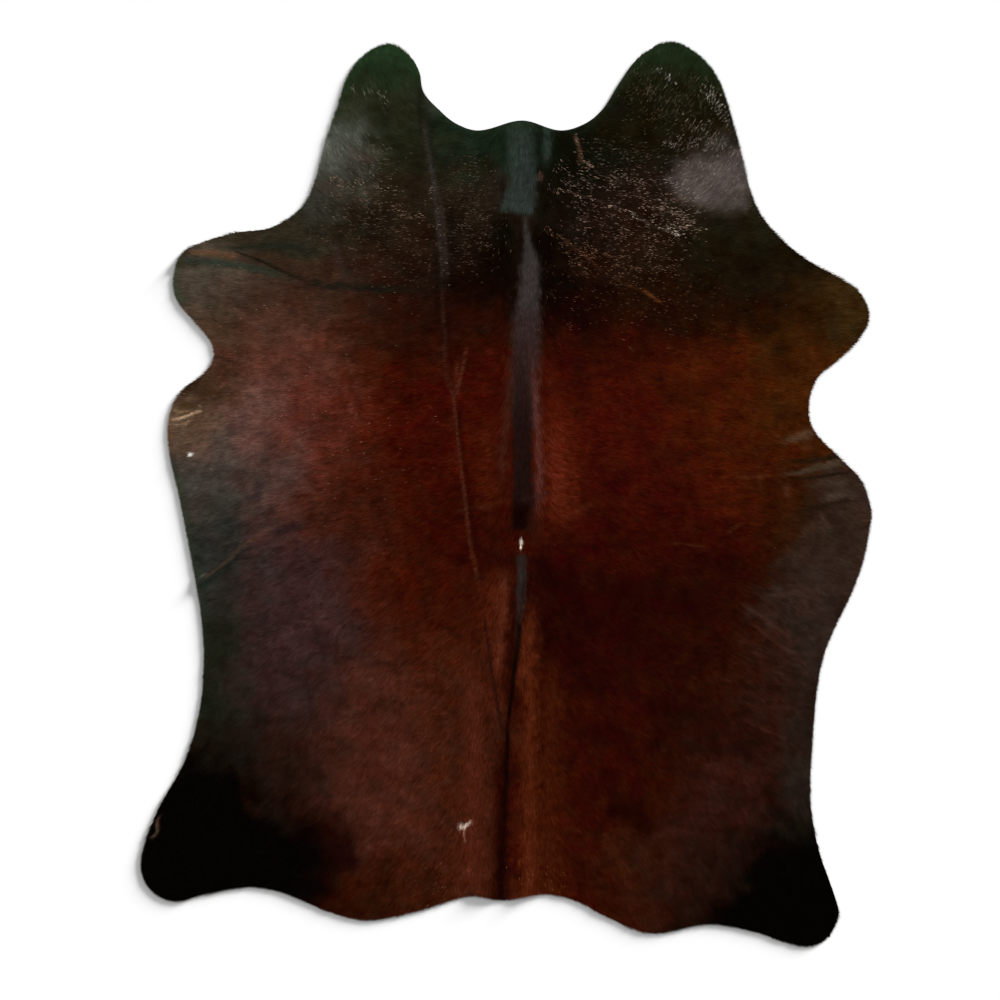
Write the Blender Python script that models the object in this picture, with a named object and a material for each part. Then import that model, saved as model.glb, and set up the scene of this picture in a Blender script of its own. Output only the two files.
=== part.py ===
"""A hair-on cowhide rug: one whole tanned hide that lies flat on the floor, hair side up.

Metres, +Z up. +Y points to the neck, and +X to the right foreleg as seen from above. The origin is on the
floor, under the middle of the hide's outline. The solid is the leather with its short coat lying on it.
"""

import math

import bmesh
import bpy
from mathutils import Vector
from mathutils.geometry import delaunay_2d_cdt, interpolate_bezier

MM = 0.001

# Driving dimensions.
HIDE_LENGTH = 2200 * MM  # from the tips of the neck flaps to the tips of the hind legs
LEATHER_THICKNESS = 2.2 * MM
COAT_THICKNESS = 1.8 * MM  # the hair lies flat, combed outwards and back
SHEET_THICKNESS = LEATHER_THICKNESS + COAT_THICKNESS

# The hide is measured on a photo from straight above, whose pixels get their size from the hide's length.
PHOTO_LENGTH = 904  # pixels from the highest to the lowest point of the rim
PIXEL = HIDE_LENGTH / PHOTO_LENGTH

# How finely the sheet is divided.
RIM_STEP = 20 * MM
FIELD_STEP = 54 * MM
FOLD_STEP = 22 * MM
FOLD_ROWS = (0.0, -0.5, 0.5, -1.0, 1.0)  # across a fold, in half widths from its crest
ROUTE_DETAIL = 12  # curve points between two given points
ROUTE_HANDLE = 1 / 3  # share of a span that a curve's handle reaches
FIELD_CLEARANCE = 24 * MM  # the field's points keep this far from all others
FOLD_CLEARANCE = 0.4  # and a fold's points this share of its half width
KEEP_INSIDE = 1  # the triangulation keeps only what lies within the rim
SAME_PLACE = 1e-7  # points closer than this, in metres, are one
SHARP_ANGLE = math.radians(40)  # the cut edge shows as a sharp one

# Colour of the coat, taken over the whole hide.
COAT_COLOUR = (0.040, 0.016, 0.008, 1.0)
COAT_ROUGHNESS = 0.55

# The cut edge, clockwise seen from above, in the photo's pixels: across from its left side, and down from its
# top, where the neck is.
RIM = [
    # place, across, down
    ("left neck flap, tip", 388, 44),
    ("left neck flap, inside", 410, 56),
    ("left neck flap, inside", 420, 72),
    ("left neck flap, inside", 424, 92),
    ("left neck flap, root", 439, 109),
    ("neck", 456, 123),
    ("neck, left hollow", 479, 130),
    ("neck, bump", 522, 120),
    ("neck, right hollow", 560, 130),
    ("neck", 585, 123),
    ("right neck flap, root", 603, 108),
    ("right neck flap, inside", 620, 81),
    ("right neck flap, inside", 639, 57),
    ("right neck flap, tip", 670, 42),
    ("right neck flap, outside", 697, 54),
    ("right neck flap, outside", 717, 77),
    ("right neck flap, outside", 729, 109),
    ("right shoulder", 740, 149),
    ("right shoulder", 750, 189),
    ("right foreleg, root", 761, 215),
    ("right foreleg, front", 783, 241),
    ("right foreleg, front", 809, 261),
    ("right foreleg, front", 843, 280),
    ("right foreleg, tip", 860, 293),
    ("right foreleg, tip", 869, 316),
    ("right foreleg, tip", 861, 336),
    ("right foreleg, back", 838, 360),
    ("right armpit", 819, 376),
    ("right armpit", 809, 402),
    ("right armpit", 813, 429),
    ("right flank", 842, 460),
    ("right flank", 860, 479),
    ("right flank, widest", 871, 509),
    ("right flank", 870, 526),
    ("right flank", 863, 561),
    ("right flank", 852, 592),
    ("right flank", 835, 627),
    ("right flank", 823, 658),
    ("right waist", 816, 698),
    ("right waist", 810, 787),
    ("right hind leg, root", 812, 816),
    ("right hind leg, outside", 820, 853),
    ("right hind leg, outside", 830, 881),
    ("right hind leg, tip", 839, 910),
    ("right hind leg, tip", 837, 921),
    ("right hind leg, tip", 826, 939),
    ("right hind leg, tip", 803, 946),
    ("right hind leg, inside", 751, 931),
    ("rump, right hollow", 708, 924),
    ("rump, right lobe", 659, 933),
    ("rump, right lobe", 637, 930),
    ("rump", 605, 916),
    ("rump", 576, 901),
    ("tail, right", 545, 894),
    ("tail", 502, 900),
    ("tail, left", 470, 896),
    ("rump", 416, 911),
    ("rump, left lobe", 367, 920),
    ("rump, left lobe", 330, 912),
    ("rump", 284, 893),
    ("rump, left hollow", 249, 887),
    ("left hind leg, inside", 209, 893),
    ("left hind leg, tip", 175, 901),
    ("left hind leg, tip", 151, 890),
    ("left hind leg, tip", 141, 867),
    ("left hind leg, outside", 145, 844),
    ("left hind leg, outside", 159, 807),
    ("left hind leg, root", 186, 758),
    ("left waist", 200, 709),
    ("left waist", 204, 652),
    ("left waist", 199, 600),
    ("left flank", 180, 500),
    ("left flank", 170, 455),
    ("left flank, widest", 168, 430),
    ("left flank", 172, 407),
    ("left flank", 186, 387),
    ("left armpit", 208, 370),
    ("left armpit", 214, 352),
    ("left armpit", 207, 336),
    ("left foreleg, back", 192, 319),
    ("left foreleg, tip", 176, 298),
    ("left foreleg, tip", 174, 275),
    ("left foreleg, tip", 183, 253),
    ("left foreleg, front", 206, 241),
    ("left foreleg, front", 238, 232),
    ("left foreleg, root", 272, 227),
    ("left shoulder", 302, 207),
    ("left shoulder", 316, 178),
    ("left shoulder", 325, 143),
    ("left neck flap, outside", 339, 103),
    ("left neck flap, outside", 345, 83),
    ("left neck flap, outside", 360, 59),
]

# The folds that stand up from the floor. Rise is the height of the crest, and half width runs from the crest
# to the foot, at the first and at the last point of the route, both in millimetres. An open end runs out over
# the rim.
FOLDS = [
    # name, rise, half width at the ends, open at the ends, route (across, down) in the photo's pixels
    (
        "press crease from the left neck flap",
        4.0,
        (16, 9),
        (True, False),
        [(424, 94), (434, 201), (441, 270), (446, 344), (459, 457), (473, 552), (482, 617)],
    ),
    (
        "rump swell, left of the tail furrow",
        5.0,
        (38, 52),
        (False, True),
        [(465, 630), (476, 691), (484, 749), (485, 823), (482, 899)],
    ),
    (
        "rump wedge, between crease and tail furrow",
        3.5,
        (44, 8),
        (False, False),
        [(499, 556), (502, 617), (503, 667), (505, 732)],
    ),
    (
        "rump swell, right of the tail furrow",
        5.0,
        (38, 52),
        (False, True),
        [(542, 560), (542, 618), (534, 696), (529, 761), (527, 823), (525, 896)],
    ),
    (
        "left foreleg fold",
        6.5,
        (24, 16),
        (True, False),
        [(179, 262), (205, 253), (234, 252), (261, 260), (285, 270), (322, 284)],
    ),
    (
        "left shoulder pucker",
        3.0,
        (12, 12),
        (False, False),
        [(341, 235), (343, 260), (346, 289)],
    ),
    (
        "left flank wrinkle",
        4.0,
        (22, 14),
        (True, False),
        [(191, 589), (238, 552), (278, 532), (310, 523), (351, 513)],
    ),
    (
        "right armpit wrinkle, front",
        4.0,
        (12, 20),
        (False, True),
        [(754, 446), (787, 440), (820, 431)],
    ),
    (
        "right armpit wrinkle, middle",
        5.5,
        (14, 22),
        (False, True),
        [(721, 480), (758, 477), (795, 471), (828, 466), (857, 468)],
    ),
    (
        "right armpit wrinkle, back",
        4.5,
        (12, 26),
        (False, True),
        [(783, 496), (824, 491), (867, 488)],
    ),
]
END_FADE = 0.22  # share of a fold's length over which a closed end rises


def smooth_route(points, closed, step):
    """Points about a step apart on the smooth curve through the given ones."""
    count = len(points)
    spans = count if closed else count - 1
    dense = []
    for i in range(spans):
        before, start, end, after = (points[wrap(i + k, count, closed)] for k in (-1, 0, 1, 2))
        reach = (end - start).length * ROUTE_HANDLE
        leave = start + (end - before).normalized() * reach
        arrive = end - (after - start).normalized() * reach
        dense += interpolate_bezier(start, leave, arrive, end, ROUTE_DETAIL + 1)[:-1]
    dense.append(points[0] if closed else points[-1])
    return even_steps(dense, step, closed)


def wrap(index, count, closed):
    """The index of a point, taken round a closed route and held at the ends of an open one."""
    return index % count if closed else min(max(index, 0), count - 1)


def even_steps(line, step, closed):
    """The same line with its points at even distances."""
    travelled = [0.0]
    for a, b in zip(line, line[1:]):
        travelled.append(travelled[-1] + (b - a).length)
    pieces = max(2, round(travelled[-1] / step))
    wanted = [travelled[-1] * k / pieces for k in range(pieces if closed else pieces + 1)]
    even, span = [], 0
    for distance in wanted:
        while span < len(line) - 2 and travelled[span + 1] < distance:
            span += 1
        share = (distance - travelled[span]) / (travelled[span + 1] - travelled[span])
        even.append(line[span].lerp(line[span + 1], min(1.0, share)))
    return even


def smooth_ramp(share):
    """Rises from 0 to 1 with level ends."""
    share = min(1.0, max(0.0, share))
    return share * share * (3 - 2 * share)


class Fold:
    """A low fold of the hide along a route, highest on its crest."""

    def __init__(self, rise, half_widths, open_ends, route):
        self.rise = rise
        self.half_widths = half_widths
        self.open_ends = open_ends
        self.crest = smooth_route(route, False, FOLD_STEP)

    def half_width(self, share):
        first, last = self.half_widths
        return first + (last - first) * share

    def height(self, share):
        """The height of the crest at a share of its length."""
        height = self.rise
        if not self.open_ends[0]:
            height *= smooth_ramp(share / END_FADE)
        if not self.open_ends[1]:
            height *= smooth_ramp((1 - share) / END_FADE)
        return height

    def lift(self, place):
        """How far the fold lifts the sheet off the floor there."""
        best = 0.0
        last = len(self.crest) - 1
        for i, (a, b) in enumerate(zip(self.crest, self.crest[1:])):
            span = b - a
            along = min(1.0, max(0.0, (place - a).dot(span) / span.length_squared))
            share = (i + along) / last
            reach = self.half_width(share)
            away = (place - a.lerp(b, along)).length
            if away < reach:
                best = max(best, self.height(share) * (1 + math.cos(math.pi * away / reach)) / 2)
        return best

    def mesh_points(self):
        """Rows of points on the crest, half way down, and on both feet."""
        last = len(self.crest) - 1
        for i, place in enumerate(self.crest):
            ahead = (self.crest[min(i + 1, last)] - self.crest[max(i - 1, 0)]).normalized()
            aside = Vector((-ahead.y, ahead.x))
            for row in FOLD_ROWS:
                yield place + aside * row * self.half_width(i / last)


def inside(place, rim):
    """Whether a place lies within the rim."""
    crossings = 0
    for a, b in zip(rim, rim[1:] + rim[:1]):
        if (a.y > place.y) != (b.y > place.y):
            crossings += place.x < a.x + (b.x - a.x) * (place.y - a.y) / (b.y - a.y)
    return crossings % 2 == 1


def corners(rim):
    """The lowest and the highest corner of the rim's box."""
    low = Vector((min(p.x for p in rim), min(p.y for p in rim)))
    high = Vector((max(p.x for p in rim), max(p.y for p in rim)))
    return low, high


def field_points(rim):
    """A staggered field of points over the rim's box."""
    row_height = FIELD_STEP * math.sqrt(3) / 2
    low, high = corners(rim)
    for row in range(1, math.ceil((high.y - low.y) / row_height)):
        shift = FIELD_STEP / 2 if row % 2 else 0.0
        for column in range(math.ceil((high.x - low.x) / FIELD_STEP)):
            yield Vector((low.x + shift + column * FIELD_STEP, low.y + row * row_height))


def mesh_places(rim, folds):
    """Every point of the flat mesh: the rim, the folds' rows, and the field between them."""
    places = list(rim)

    def add(candidates, apart):
        for place in candidates:
            if inside(place, rim) and min((place - p).length for p in places) > apart:
                places.append(place)

    for fold in sorted(folds, key=lambda f: max(f.half_widths)):
        add(fold.mesh_points(), min(fold.half_widths) * FOLD_CLEARANCE)
    add(field_points(rim), FIELD_CLEARANCE)
    return places


def on_the_floor(across, down):
    """A place in the photo's pixels as one in metres, with the neck towards +Y."""
    return Vector((across, -down)) * PIXEL


def laid_out():
    """The rim and the folds in metres, with the middle of the hide's outline at zero."""
    rim = smooth_route([on_the_floor(across, down) for _, across, down in RIM], True, RIM_STEP)
    low, high = corners(rim)
    middle = (low + high) / 2
    folds = []
    for _, rise, half_widths, open_ends, route in FOLDS:
        places = [on_the_floor(across, down) - middle for across, down in route]
        folds.append(Fold(rise * MM, [w * MM for w in half_widths], open_ends, places))
    return [place - middle for place in rim], folds


def make_sheet(name):
    """The hide: an uneven sheet of one thickness, with its underside on the floor between the folds."""
    rim, folds = laid_out()
    places = mesh_places(rim, folds)
    edges = [(i, (i + 1) % len(rim)) for i in range(len(rim))]
    flat, _, faces, _, _, _ = delaunay_2d_cdt(places, edges, [], KEEP_INSIDE, SAME_PLACE)

    sheet = bmesh.new()
    verts = [sheet.verts.new((p.x, p.y, max(f.lift(p) for f in folds))) for p in flat]
    for face in faces:
        sheet.faces.new([verts[i] for i in face])
    grown = bmesh.ops.extrude_face_region(sheet, geom=sheet.faces[:], use_keep_orig=True)
    top = [g for g in grown["geom"] if isinstance(g, bmesh.types.BMVert)]
    bmesh.ops.translate(sheet, vec=(0, 0, SHEET_THICKNESS), verts=top)
    bmesh.ops.triangulate(sheet, faces=[f for f in sheet.faces if len(f.verts) > 3])
    bmesh.ops.recalc_face_normals(sheet, faces=sheet.faces[:])
    mesh = bpy.data.meshes.new(name)
    sheet.to_mesh(mesh)
    sheet.free()
    mesh.shade_smooth()
    mesh.set_sharp_from_angle(angle=SHARP_ANGLE)
    return mesh


def coat_material():
    """Short dark brown hair with a soft sheen."""
    material = bpy.data.materials.new("cowhide_coat")
    material.use_nodes = True
    shader = material.node_tree.nodes["Principled BSDF"]
    shader.inputs["Base Color"].default_value = COAT_COLOUR
    shader.inputs["Roughness"].default_value = COAT_ROUGHNESS
    shader.inputs["Metallic"].default_value = 0.0
    material.diffuse_color = COAT_COLOUR
    return material


for old in list(bpy.data.objects):
    bpy.data.objects.remove(old)

hide = bpy.data.objects.new("hide", make_sheet("hide"))
hide.data.materials.append(coat_material())
bpy.context.scene.collection.objects.link(hide)
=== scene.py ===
"""A hair-on cowhide rug: its leather, its short coat, and the floor, light and camera that show it.

Places in the tables are in the photo's pixels, across from its left side and down from its top, where the
neck is. Rises, widths and reaches are in millimetres, and colours are sRGB from 0 to 255.
"""

import math

import bmesh
import bpy
import numpy as np
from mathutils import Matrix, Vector, noise
from mathutils.geometry import delaunay_2d_cdt, interpolate_bezier


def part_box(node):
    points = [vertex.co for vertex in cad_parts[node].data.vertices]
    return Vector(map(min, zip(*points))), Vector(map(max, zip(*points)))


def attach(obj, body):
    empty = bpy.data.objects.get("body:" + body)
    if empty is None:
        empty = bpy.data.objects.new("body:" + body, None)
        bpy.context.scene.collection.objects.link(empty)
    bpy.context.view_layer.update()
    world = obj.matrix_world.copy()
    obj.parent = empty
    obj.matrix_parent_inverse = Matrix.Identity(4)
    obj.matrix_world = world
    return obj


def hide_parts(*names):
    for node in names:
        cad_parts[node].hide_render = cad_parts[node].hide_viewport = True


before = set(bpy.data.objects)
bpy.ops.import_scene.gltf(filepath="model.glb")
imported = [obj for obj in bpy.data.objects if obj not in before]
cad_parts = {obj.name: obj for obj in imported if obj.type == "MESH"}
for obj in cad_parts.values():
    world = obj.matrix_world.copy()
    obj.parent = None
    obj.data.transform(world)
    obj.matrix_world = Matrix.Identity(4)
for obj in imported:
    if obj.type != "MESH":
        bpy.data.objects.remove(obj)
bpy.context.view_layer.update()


# The leather. One whole tanned hide about 2 mm thick, cut round its natural edge and laid flesh side down. It
# is a closed sheet over the folds of the imported solid, with the finer creases on it. The hair side has the
# coat's colour, darkened as painted shade under the hair, and the flesh side and the cut edge are bare suede.

PHOTO_LENGTH = 904  # the hide's length in the photo, in pixels
PHOTO_MIDDLE = (506.2, 494.1)  # the pixel in the middle of the hide's outline, where the origin is
hide_low, hide_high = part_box("hide")
PIXEL = (hide_high[1] - hide_low[1]) / PHOTO_LENGTH

MM = 0.001
LEATHER_THICKNESS = 2.2 * MM
EDGE_INSET = 1.5 * MM  # the hair hangs over the cut edge
EDGE_STEP = 7 * MM
LEATHER_STEP = 6.2 * MM  # between the mesh's points on folds and creases
FLAT_STRIDE = 3  # where the hide lies flat, only every third point of every third row is kept
ROW_STEP = math.sqrt(3) / 2  # between the rows of a field of even triangles with a step of 1
SHARP_EDGE = math.radians(40)
CREASE_STEP = 12 * MM
CURVE_DETAIL = 12  # curve points between two given points
CURVE_HOLD = 3  # a curve keeps its way at a given point over this part of the distance to the next
END_FADE = 0.22  # share of a fold's length over which a closed end rises
WAVE_HEIGHT = 0.9 * MM  # the hide never lies quite flat
WAVE_LENGTH = 190 * MM
SEED_STEP = 10  # between the planes that patterns are cut from in the noise
WELD = 0.1 * MM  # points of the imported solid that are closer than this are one
SLOPE = 0.5  # a face of the solid is on its cut edge where its normal rises or falls by less than this
SAME_PLACE = 0.001 * MM
INSIDE_ALONE = 1  # tells the mesher to keep the triangles within the outline
MAP_MARGIN = 1 * MM

FOLDS = [
    # name, rise, half width at the ends, open at the ends, route
    ("press crease from the left neck flap", 4.0, (16, 9), (True, False),
     [(424, 94), (434, 201), (441, 270), (446, 344), (459, 457), (473, 552), (482, 617)]),
    ("rump swell, left of the tail furrow", 5.0, (38, 52), (False, True),
     [(465, 630), (476, 691), (484, 749), (485, 823), (482, 899)]),
    ("rump wedge, between crease and tail furrow", 3.5, (44, 8), (False, False),
     [(499, 556), (502, 617), (503, 667), (505, 732)]),
    ("rump swell, right of the tail furrow", 5.0, (38, 52), (False, True),
     [(542, 560), (542, 618), (534, 696), (529, 761), (527, 823), (525, 896)]),
    ("left foreleg fold", 6.5, (24, 16), (True, False),
     [(179, 262), (205, 253), (234, 252), (261, 260), (285, 270), (322, 284)]),
    ("left shoulder pucker", 3.0, (12, 12), (False, False), [(341, 235), (343, 260), (346, 289)]),
    ("left flank wrinkle", 4.0, (22, 14), (True, False),
     [(191, 589), (238, 552), (278, 532), (310, 523), (351, 513)]),
    ("right armpit wrinkle, front", 4.0, (12, 20), (False, True), [(754, 446), (787, 440), (820, 431)]),
    ("right armpit wrinkle, middle", 5.5, (14, 22), (False, True),
     [(721, 480), (758, 477), (795, 471), (828, 466), (857, 468)]),
    ("right armpit wrinkle, back", 4.5, (12, 26), (False, True), [(783, 496), (824, 491), (867, 488)]),
]
CREASES = [
    # the same columns, for the finer ones, which stand on the folds
    ("press crease, sharp top", 1.6, (6, 5), (True, False),
     [(424, 98), (430, 161), (434, 201), (439, 253), (442, 301), (445, 340), (448, 380), (454, 398),
      (457, 432), (460, 460), (464, 490), (467, 516), (474, 555), (480, 595)]),
    ("press crease, branch", 1.4, (6, 5), (False, False), [(469, 340), (465, 358), (461, 376), (456, 398)]),
    ("nape crease, long", 1.8, (9, 11), (False, False),
     [(548, 189), (560, 190), (631, 209), (648, 216), (683, 235)]),
    ("nape crease, short", 1.4, (8, 7), (False, False), [(550, 230), (577, 251), (592, 263), (606, 277)]),
    ("nape crease, upright", 1.2, (6, 6), (False, False), [(575, 135), (578, 145), (582, 166)]),
    ("left foreleg crease", 2.4, (10, 9), (True, False), [(178, 277), (227, 273), (268, 279), (313, 290)]),
    ("left flank, upper wrinkle", 1.8, (12, 10), (False, False), [(205, 560), (248, 533), (290, 512)]),
    ("left flank, short line", 1.0, (7, 7), (False, False), [(300, 618), (330, 619)]),
    ("right armpit line", 1.1, (7, 6), (False, False), [(664, 543), (690, 545), (716, 548)]),
    ("right armpit arc", 1.1, (6, 6), (False, False), [(726, 535), (735, 526), (744, 523)]),
    ("right flank ray, front", 1.2, (10, 12), (False, True), [(737, 601), (765, 620), (792, 640)]),
    ("right flank ray, back", 1.2, (10, 12), (False, True), [(742, 618), (768, 636), (794, 656)]),
    ("right waist line", 1.1, (9, 9), (False, False), [(740, 720), (765, 731), (790, 745)]),
    ("line across the back", 1.3, (10, 8), (False, False), [(447, 508), (480, 505), (510, 501), (545, 498)]),
]

WRINKLES = [
    # name, across, down, reach across, reach along, turn in degrees, spacing, depth
    ("right waist", 738, 668, 220, 150, -14, 24, 0.3),
    ("right flank, fan", 775, 615, 110, 100, -36, 26, 0.3),
    ("right flank, upper", 750, 470, 150, 60, 6, 16, 0.25),
    ("right shoulder", 650, 250, 220, 100, -12, 14, 0.25),
    ("left flank", 250, 545, 150, 100, 28, 22, 0.28),
    ("left side", 300, 510, 150, 65, 8, 17, 0.25),
    ("left side, lower", 330, 620, 170, 120, 0, 18, 0.16),
    ("left belly", 225, 430, 120, 80, 38, 13, 0.2),
    ("back", 400, 512, 170, 55, 5, 15, 0.22),
    ("rump, right", 691, 725, 180, 200, -30, 22, 0.14),
]
WRINKLE_HEIGHT = 2.0 * MM  # for a depth of 1
WRINKLE_STRETCH = 7  # a wrinkle's length over the spacing
WRINKLE_NOISE = (0.7, 2, 3)  # smoothness, ratio of one size to the next, number of sizes
WRINKLE_END = 0.05  # an area ends where it has this share of its depth
FURROW_WIDTH = 0.16  # there is a furrow where the noise is closer to 0 than this


def solid_outline(node):
    """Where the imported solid's edge meets the floor, in order and counter-clockwise."""
    solid = bmesh.new()
    solid.from_mesh(node.data)
    bmesh.ops.remove_doubles(solid, verts=solid.verts, dist=WELD)
    beside = {}
    for edge in solid.edges:
        low, high = sorted(face.normal.z for face in edge.link_faces)
        if low < -SLOPE and abs(high) < SLOPE:
            first, second = edge.verts
            beside.setdefault(first, []).append(second)
            beside.setdefault(second, []).append(first)
    start = next(iter(beside))
    outline, before, here = [], None, start
    while not outline or here is not start:
        outline.append(here.co.xy)
        before, here = here, next(vert for vert in beside[here] if vert is not before)
    solid.free()
    turning = sum(a.cross(b) for a, b in zip(outline, outline[1:] + outline[:1]))
    return outline if turning > 0 else outline[::-1]


def on_the_hide(pixels):
    """Places in the photo's pixels as places on the hide, in metres."""
    return (np.array(pixels) - PHOTO_MIDDLE) * (PIXEL, -PIXEL)


def smooth_route(points, closed, step):
    """Points about a step apart on the smooth curve through the given ones."""
    count = len(points)

    def near(index):
        return points[index % count if closed else min(max(index, 0), count - 1)]

    dense = []
    for i in range(count if closed else count - 1):
        before, start, end, after = (near(i + k) for k in (-1, 0, 1, 2))
        reach = (end - start).length / CURVE_HOLD
        leave = start + (end - before).normalized() * reach
        arrive = end - (after - start).normalized() * reach
        dense += interpolate_bezier(start, leave, arrive, end, CURVE_DETAIL + 1)[:-1]
    dense.append(near(count))
    line = np.array(dense)[:, :2]
    travelled = np.append(0, np.cumsum(np.hypot(*np.diff(line, axis=0).T)))
    pieces = max(2, round(travelled[-1] / step))
    wanted = np.linspace(0, travelled[-1], pieces + 1)
    even = np.column_stack([np.interp(wanted, travelled, line[:, axis]) for axis in (0, 1)])
    return even[:-1] if closed else even


def route(pixels, step=CREASE_STEP):
    """The smooth line through a table's places."""
    return smooth_route([Vector(place) for place in on_the_hide(pixels)], False, step)


def cross(first, second):
    """How far the second way turns to the left of the first."""
    return first[..., 0] * second[..., 1] - first[..., 1] * second[..., 0]


def near_line(places, line, reach):
    """The places within reach of a line, how far along it they are from 0 to 1, and how far aside.

    Aside is positive to the left of the line's way.
    """
    near = np.flatnonzero(((places > line.min(0) - reach) & (places < line.max(0) + reach)).all(1))
    here = places[near]
    along, aside = np.zeros(len(near)), np.full(len(near), np.inf)
    last = len(line) - 1
    for i, (start, end) in enumerate(zip(line, line[1:])):
        span = end - start
        share = np.clip((here - start) @ span / (span @ span), 0, 1)
        gap = here - start - share[:, None] * span
        away = np.hypot(*gap.T)
        closer = away < np.abs(aside)
        aside[closer] = np.where(cross(span, gap) >= 0, away, -away)[closer]
        along[closer] = (i + share[closer]) / last
    kept = np.abs(aside) < reach
    return near[kept], along[kept], aside[kept]


def smooth_ramp(share):
    """Rises from 0 to 1 with level ends."""
    share = np.clip(share, 0, 1)
    return share * share * (3 - 2 * share)


def faded(values, along, fades):
    """Values along a line, made to rise from 0 at each end over a share of its length, unless it is 0."""
    for share, fade in ((along, fades[0]), (1 - along, fades[1])):
        if fade:
            values = values * smooth_ramp(share / fade)
    return values


def fold_lift(places, fold):
    """The places that a fold or crease lifts, and by how much."""
    _, rise, half_widths, open_ends, points = fold
    first, last = np.array(half_widths) * MM
    near, along, aside = near_line(places, route(points), max(first, last))
    height = faded(rise * MM, along, [0 if is_open else END_FADE for is_open in open_ends])
    down = np.clip(np.abs(aside) / (first + (last - first) * along), 0, 1)
    return near, height * (1 + np.cos(np.pi * down)) / 2


def reaches_away(places, row):
    """How far each place is from the middle of a table's soft patch, in the patch's own reaches, squared."""
    _, across, down, reach_across, reach_along, *_ = row
    away = (places - on_the_hide((across, down))) / (np.array((reach_across, reach_along)) * MM)
    return (away ** 2).sum(1)


def wrinkles_at(places):
    """How deep the wrinkles are at each place, and how much of that depth is a furrow there, from 0 to 1."""
    depth, furrow = np.zeros(len(places)), np.zeros(len(places))
    for seed, row in enumerate(WRINKLES):
        *_, turn, spacing, strength = row
        here = strength * np.exp(-reaches_away(places, row))
        near = np.flatnonzero((here > WRINKLE_END * strength) & (here > depth))
        cosine, sine = math.cos(math.radians(turn)), math.sin(math.radians(turn))
        turned = places[near] @ np.array([[cosine, -sine], [sine, cosine]]) / (spacing * MM)
        waves = [noise.fractal(Vector((x / WRINKLE_STRETCH, y, SEED_STEP * seed)), *WRINKLE_NOISE)
                 for x, y in turned]
        depth[near] = here[near]
        furrow[near] = smooth_ramp(1 - np.abs(waves) / FURROW_WIDTH)
    return depth, furrow


def lift_at(places):
    """How far the sheet stands off the floor at each place."""
    lift = np.zeros(len(places))
    for fold in FOLDS:
        near, height = fold_lift(places, fold)
        lift[near] = np.maximum(lift[near], height)
    for crease in CREASES:
        near, height = fold_lift(places, crease)
        lift[near] += height
    waves = [noise.noise(Vector((x, y, 0)) / WAVE_LENGTH) for x, y in places]
    depth, furrow = wrinkles_at(places)
    return lift + WAVE_HEIGHT * np.maximum(0, waves) + WRINKLE_HEIGHT * depth * (1 - furrow)


def unit(ways):
    """The ways at a length of 1."""
    return ways / np.hypot(*ways.T)[:, None]


def leftwards(ways):
    """The ways turned to the left by a right angle."""
    return np.column_stack([-ways[:, 1], ways[:, 0]])


def drawn_in(outline, inset):
    """The outline moved inwards."""
    ahead = unit(np.roll(outline, -1, axis=0) - np.roll(outline, 1, axis=0))
    return outline + leftwards(ahead) * inset


def inside(places, outline):
    """Whether each place lies within the outline."""
    crossings = np.zeros(len(places), int)
    for (ax, ay), (bx, by) in zip(outline, np.roll(outline, -1, axis=0)):
        if ay != by:
            level = (ay > places[:, 1]) != (by > places[:, 1])
            crossings += level & (places[:, 0] < ax + (bx - ax) * (places[:, 1] - ay) / (by - ay))
    return crossings % 2 == 1


def field(outline, step):
    """A staggered field of places within the outline, and the column and row of each."""
    low, high = outline.min(0), outline.max(0)
    columns, rows = np.ceil((high - low) / (step, step * ROW_STEP)).astype(int)
    column, row = (grid.ravel() for grid in np.meshgrid(np.arange(columns), np.arange(rows)))
    places = low + np.column_stack([column + row % 2 / 2, row * ROW_STEP]) * step
    kept = inside(places, drawn_in(outline, step / 2))
    return places[kept], column[kept], row[kept]


def flat_mesh(outline, places):
    """The points and triangles of a flat mesh. Its first points are the outline's."""
    points = [Vector(place) for place in np.vstack([outline, places])]
    edges = [(i, (i + 1) % len(outline)) for i in range(len(outline))]
    flat, _, triangles, *_ = delaunay_2d_cdt(points, edges, [], INSIDE_ALONE, SAME_PLACE)
    return np.array(flat), np.array(triangles)


def leather_places(outline):
    """The leather mesh's points: close on folds and creases, and wide apart where it lies flat."""
    places, column, row = field(outline, LEATHER_STEP)
    kept = (column % FLAT_STRIDE == 0) & (row % FLAT_STRIDE == 0)
    for fold in FOLDS + CREASES:
        near, _ = fold_lift(places, fold)
        kept[near] = True
    kept |= wrinkles_at(places)[0] > 0
    return places[kept]


def leather_mesh(outline):
    """The closed sheet: the hair side, the flesh side, and the cut edge between them."""
    flat, triangles = flat_mesh(outline, leather_places(outline))
    low = np.column_stack([flat, lift_at(flat)])
    high = low + (0, 0, LEATHER_THICKNESS)
    rim = np.arange(len(outline))
    ahead = np.roll(rim, -1)
    walls = np.column_stack([rim, ahead, ahead + len(flat), rim + len(flat)])
    hair_side, flesh_side = triangles + len(flat), triangles[:, ::-1]
    mesh = bpy.data.meshes.new("leather")
    mesh.from_pydata(np.vstack([low, high]).tolist(), [],
                     hair_side.tolist() + flesh_side.tolist() + walls.tolist())
    slots = np.ones(len(mesh.polygons), int)
    slots[:len(hair_side)] = 0
    mesh.polygons.foreach_set("material_index", slots)
    mesh.shade_smooth()
    mesh.set_sharp_from_angle(angle=SHARP_EDGE)
    outer = drawn_in(outline, -2 * LEATHER_THICKNESS)
    wall_map = np.stack([outline[rim], outline[ahead], outer[ahead], outer[rim]], 1)
    underneath = np.vstack([flat[flesh_side].reshape(-1, 2), wall_map.reshape(-1, 2)])
    add_top_map(mesh, flat[triangles].reshape(-1, 2), underneath)
    return mesh


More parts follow.
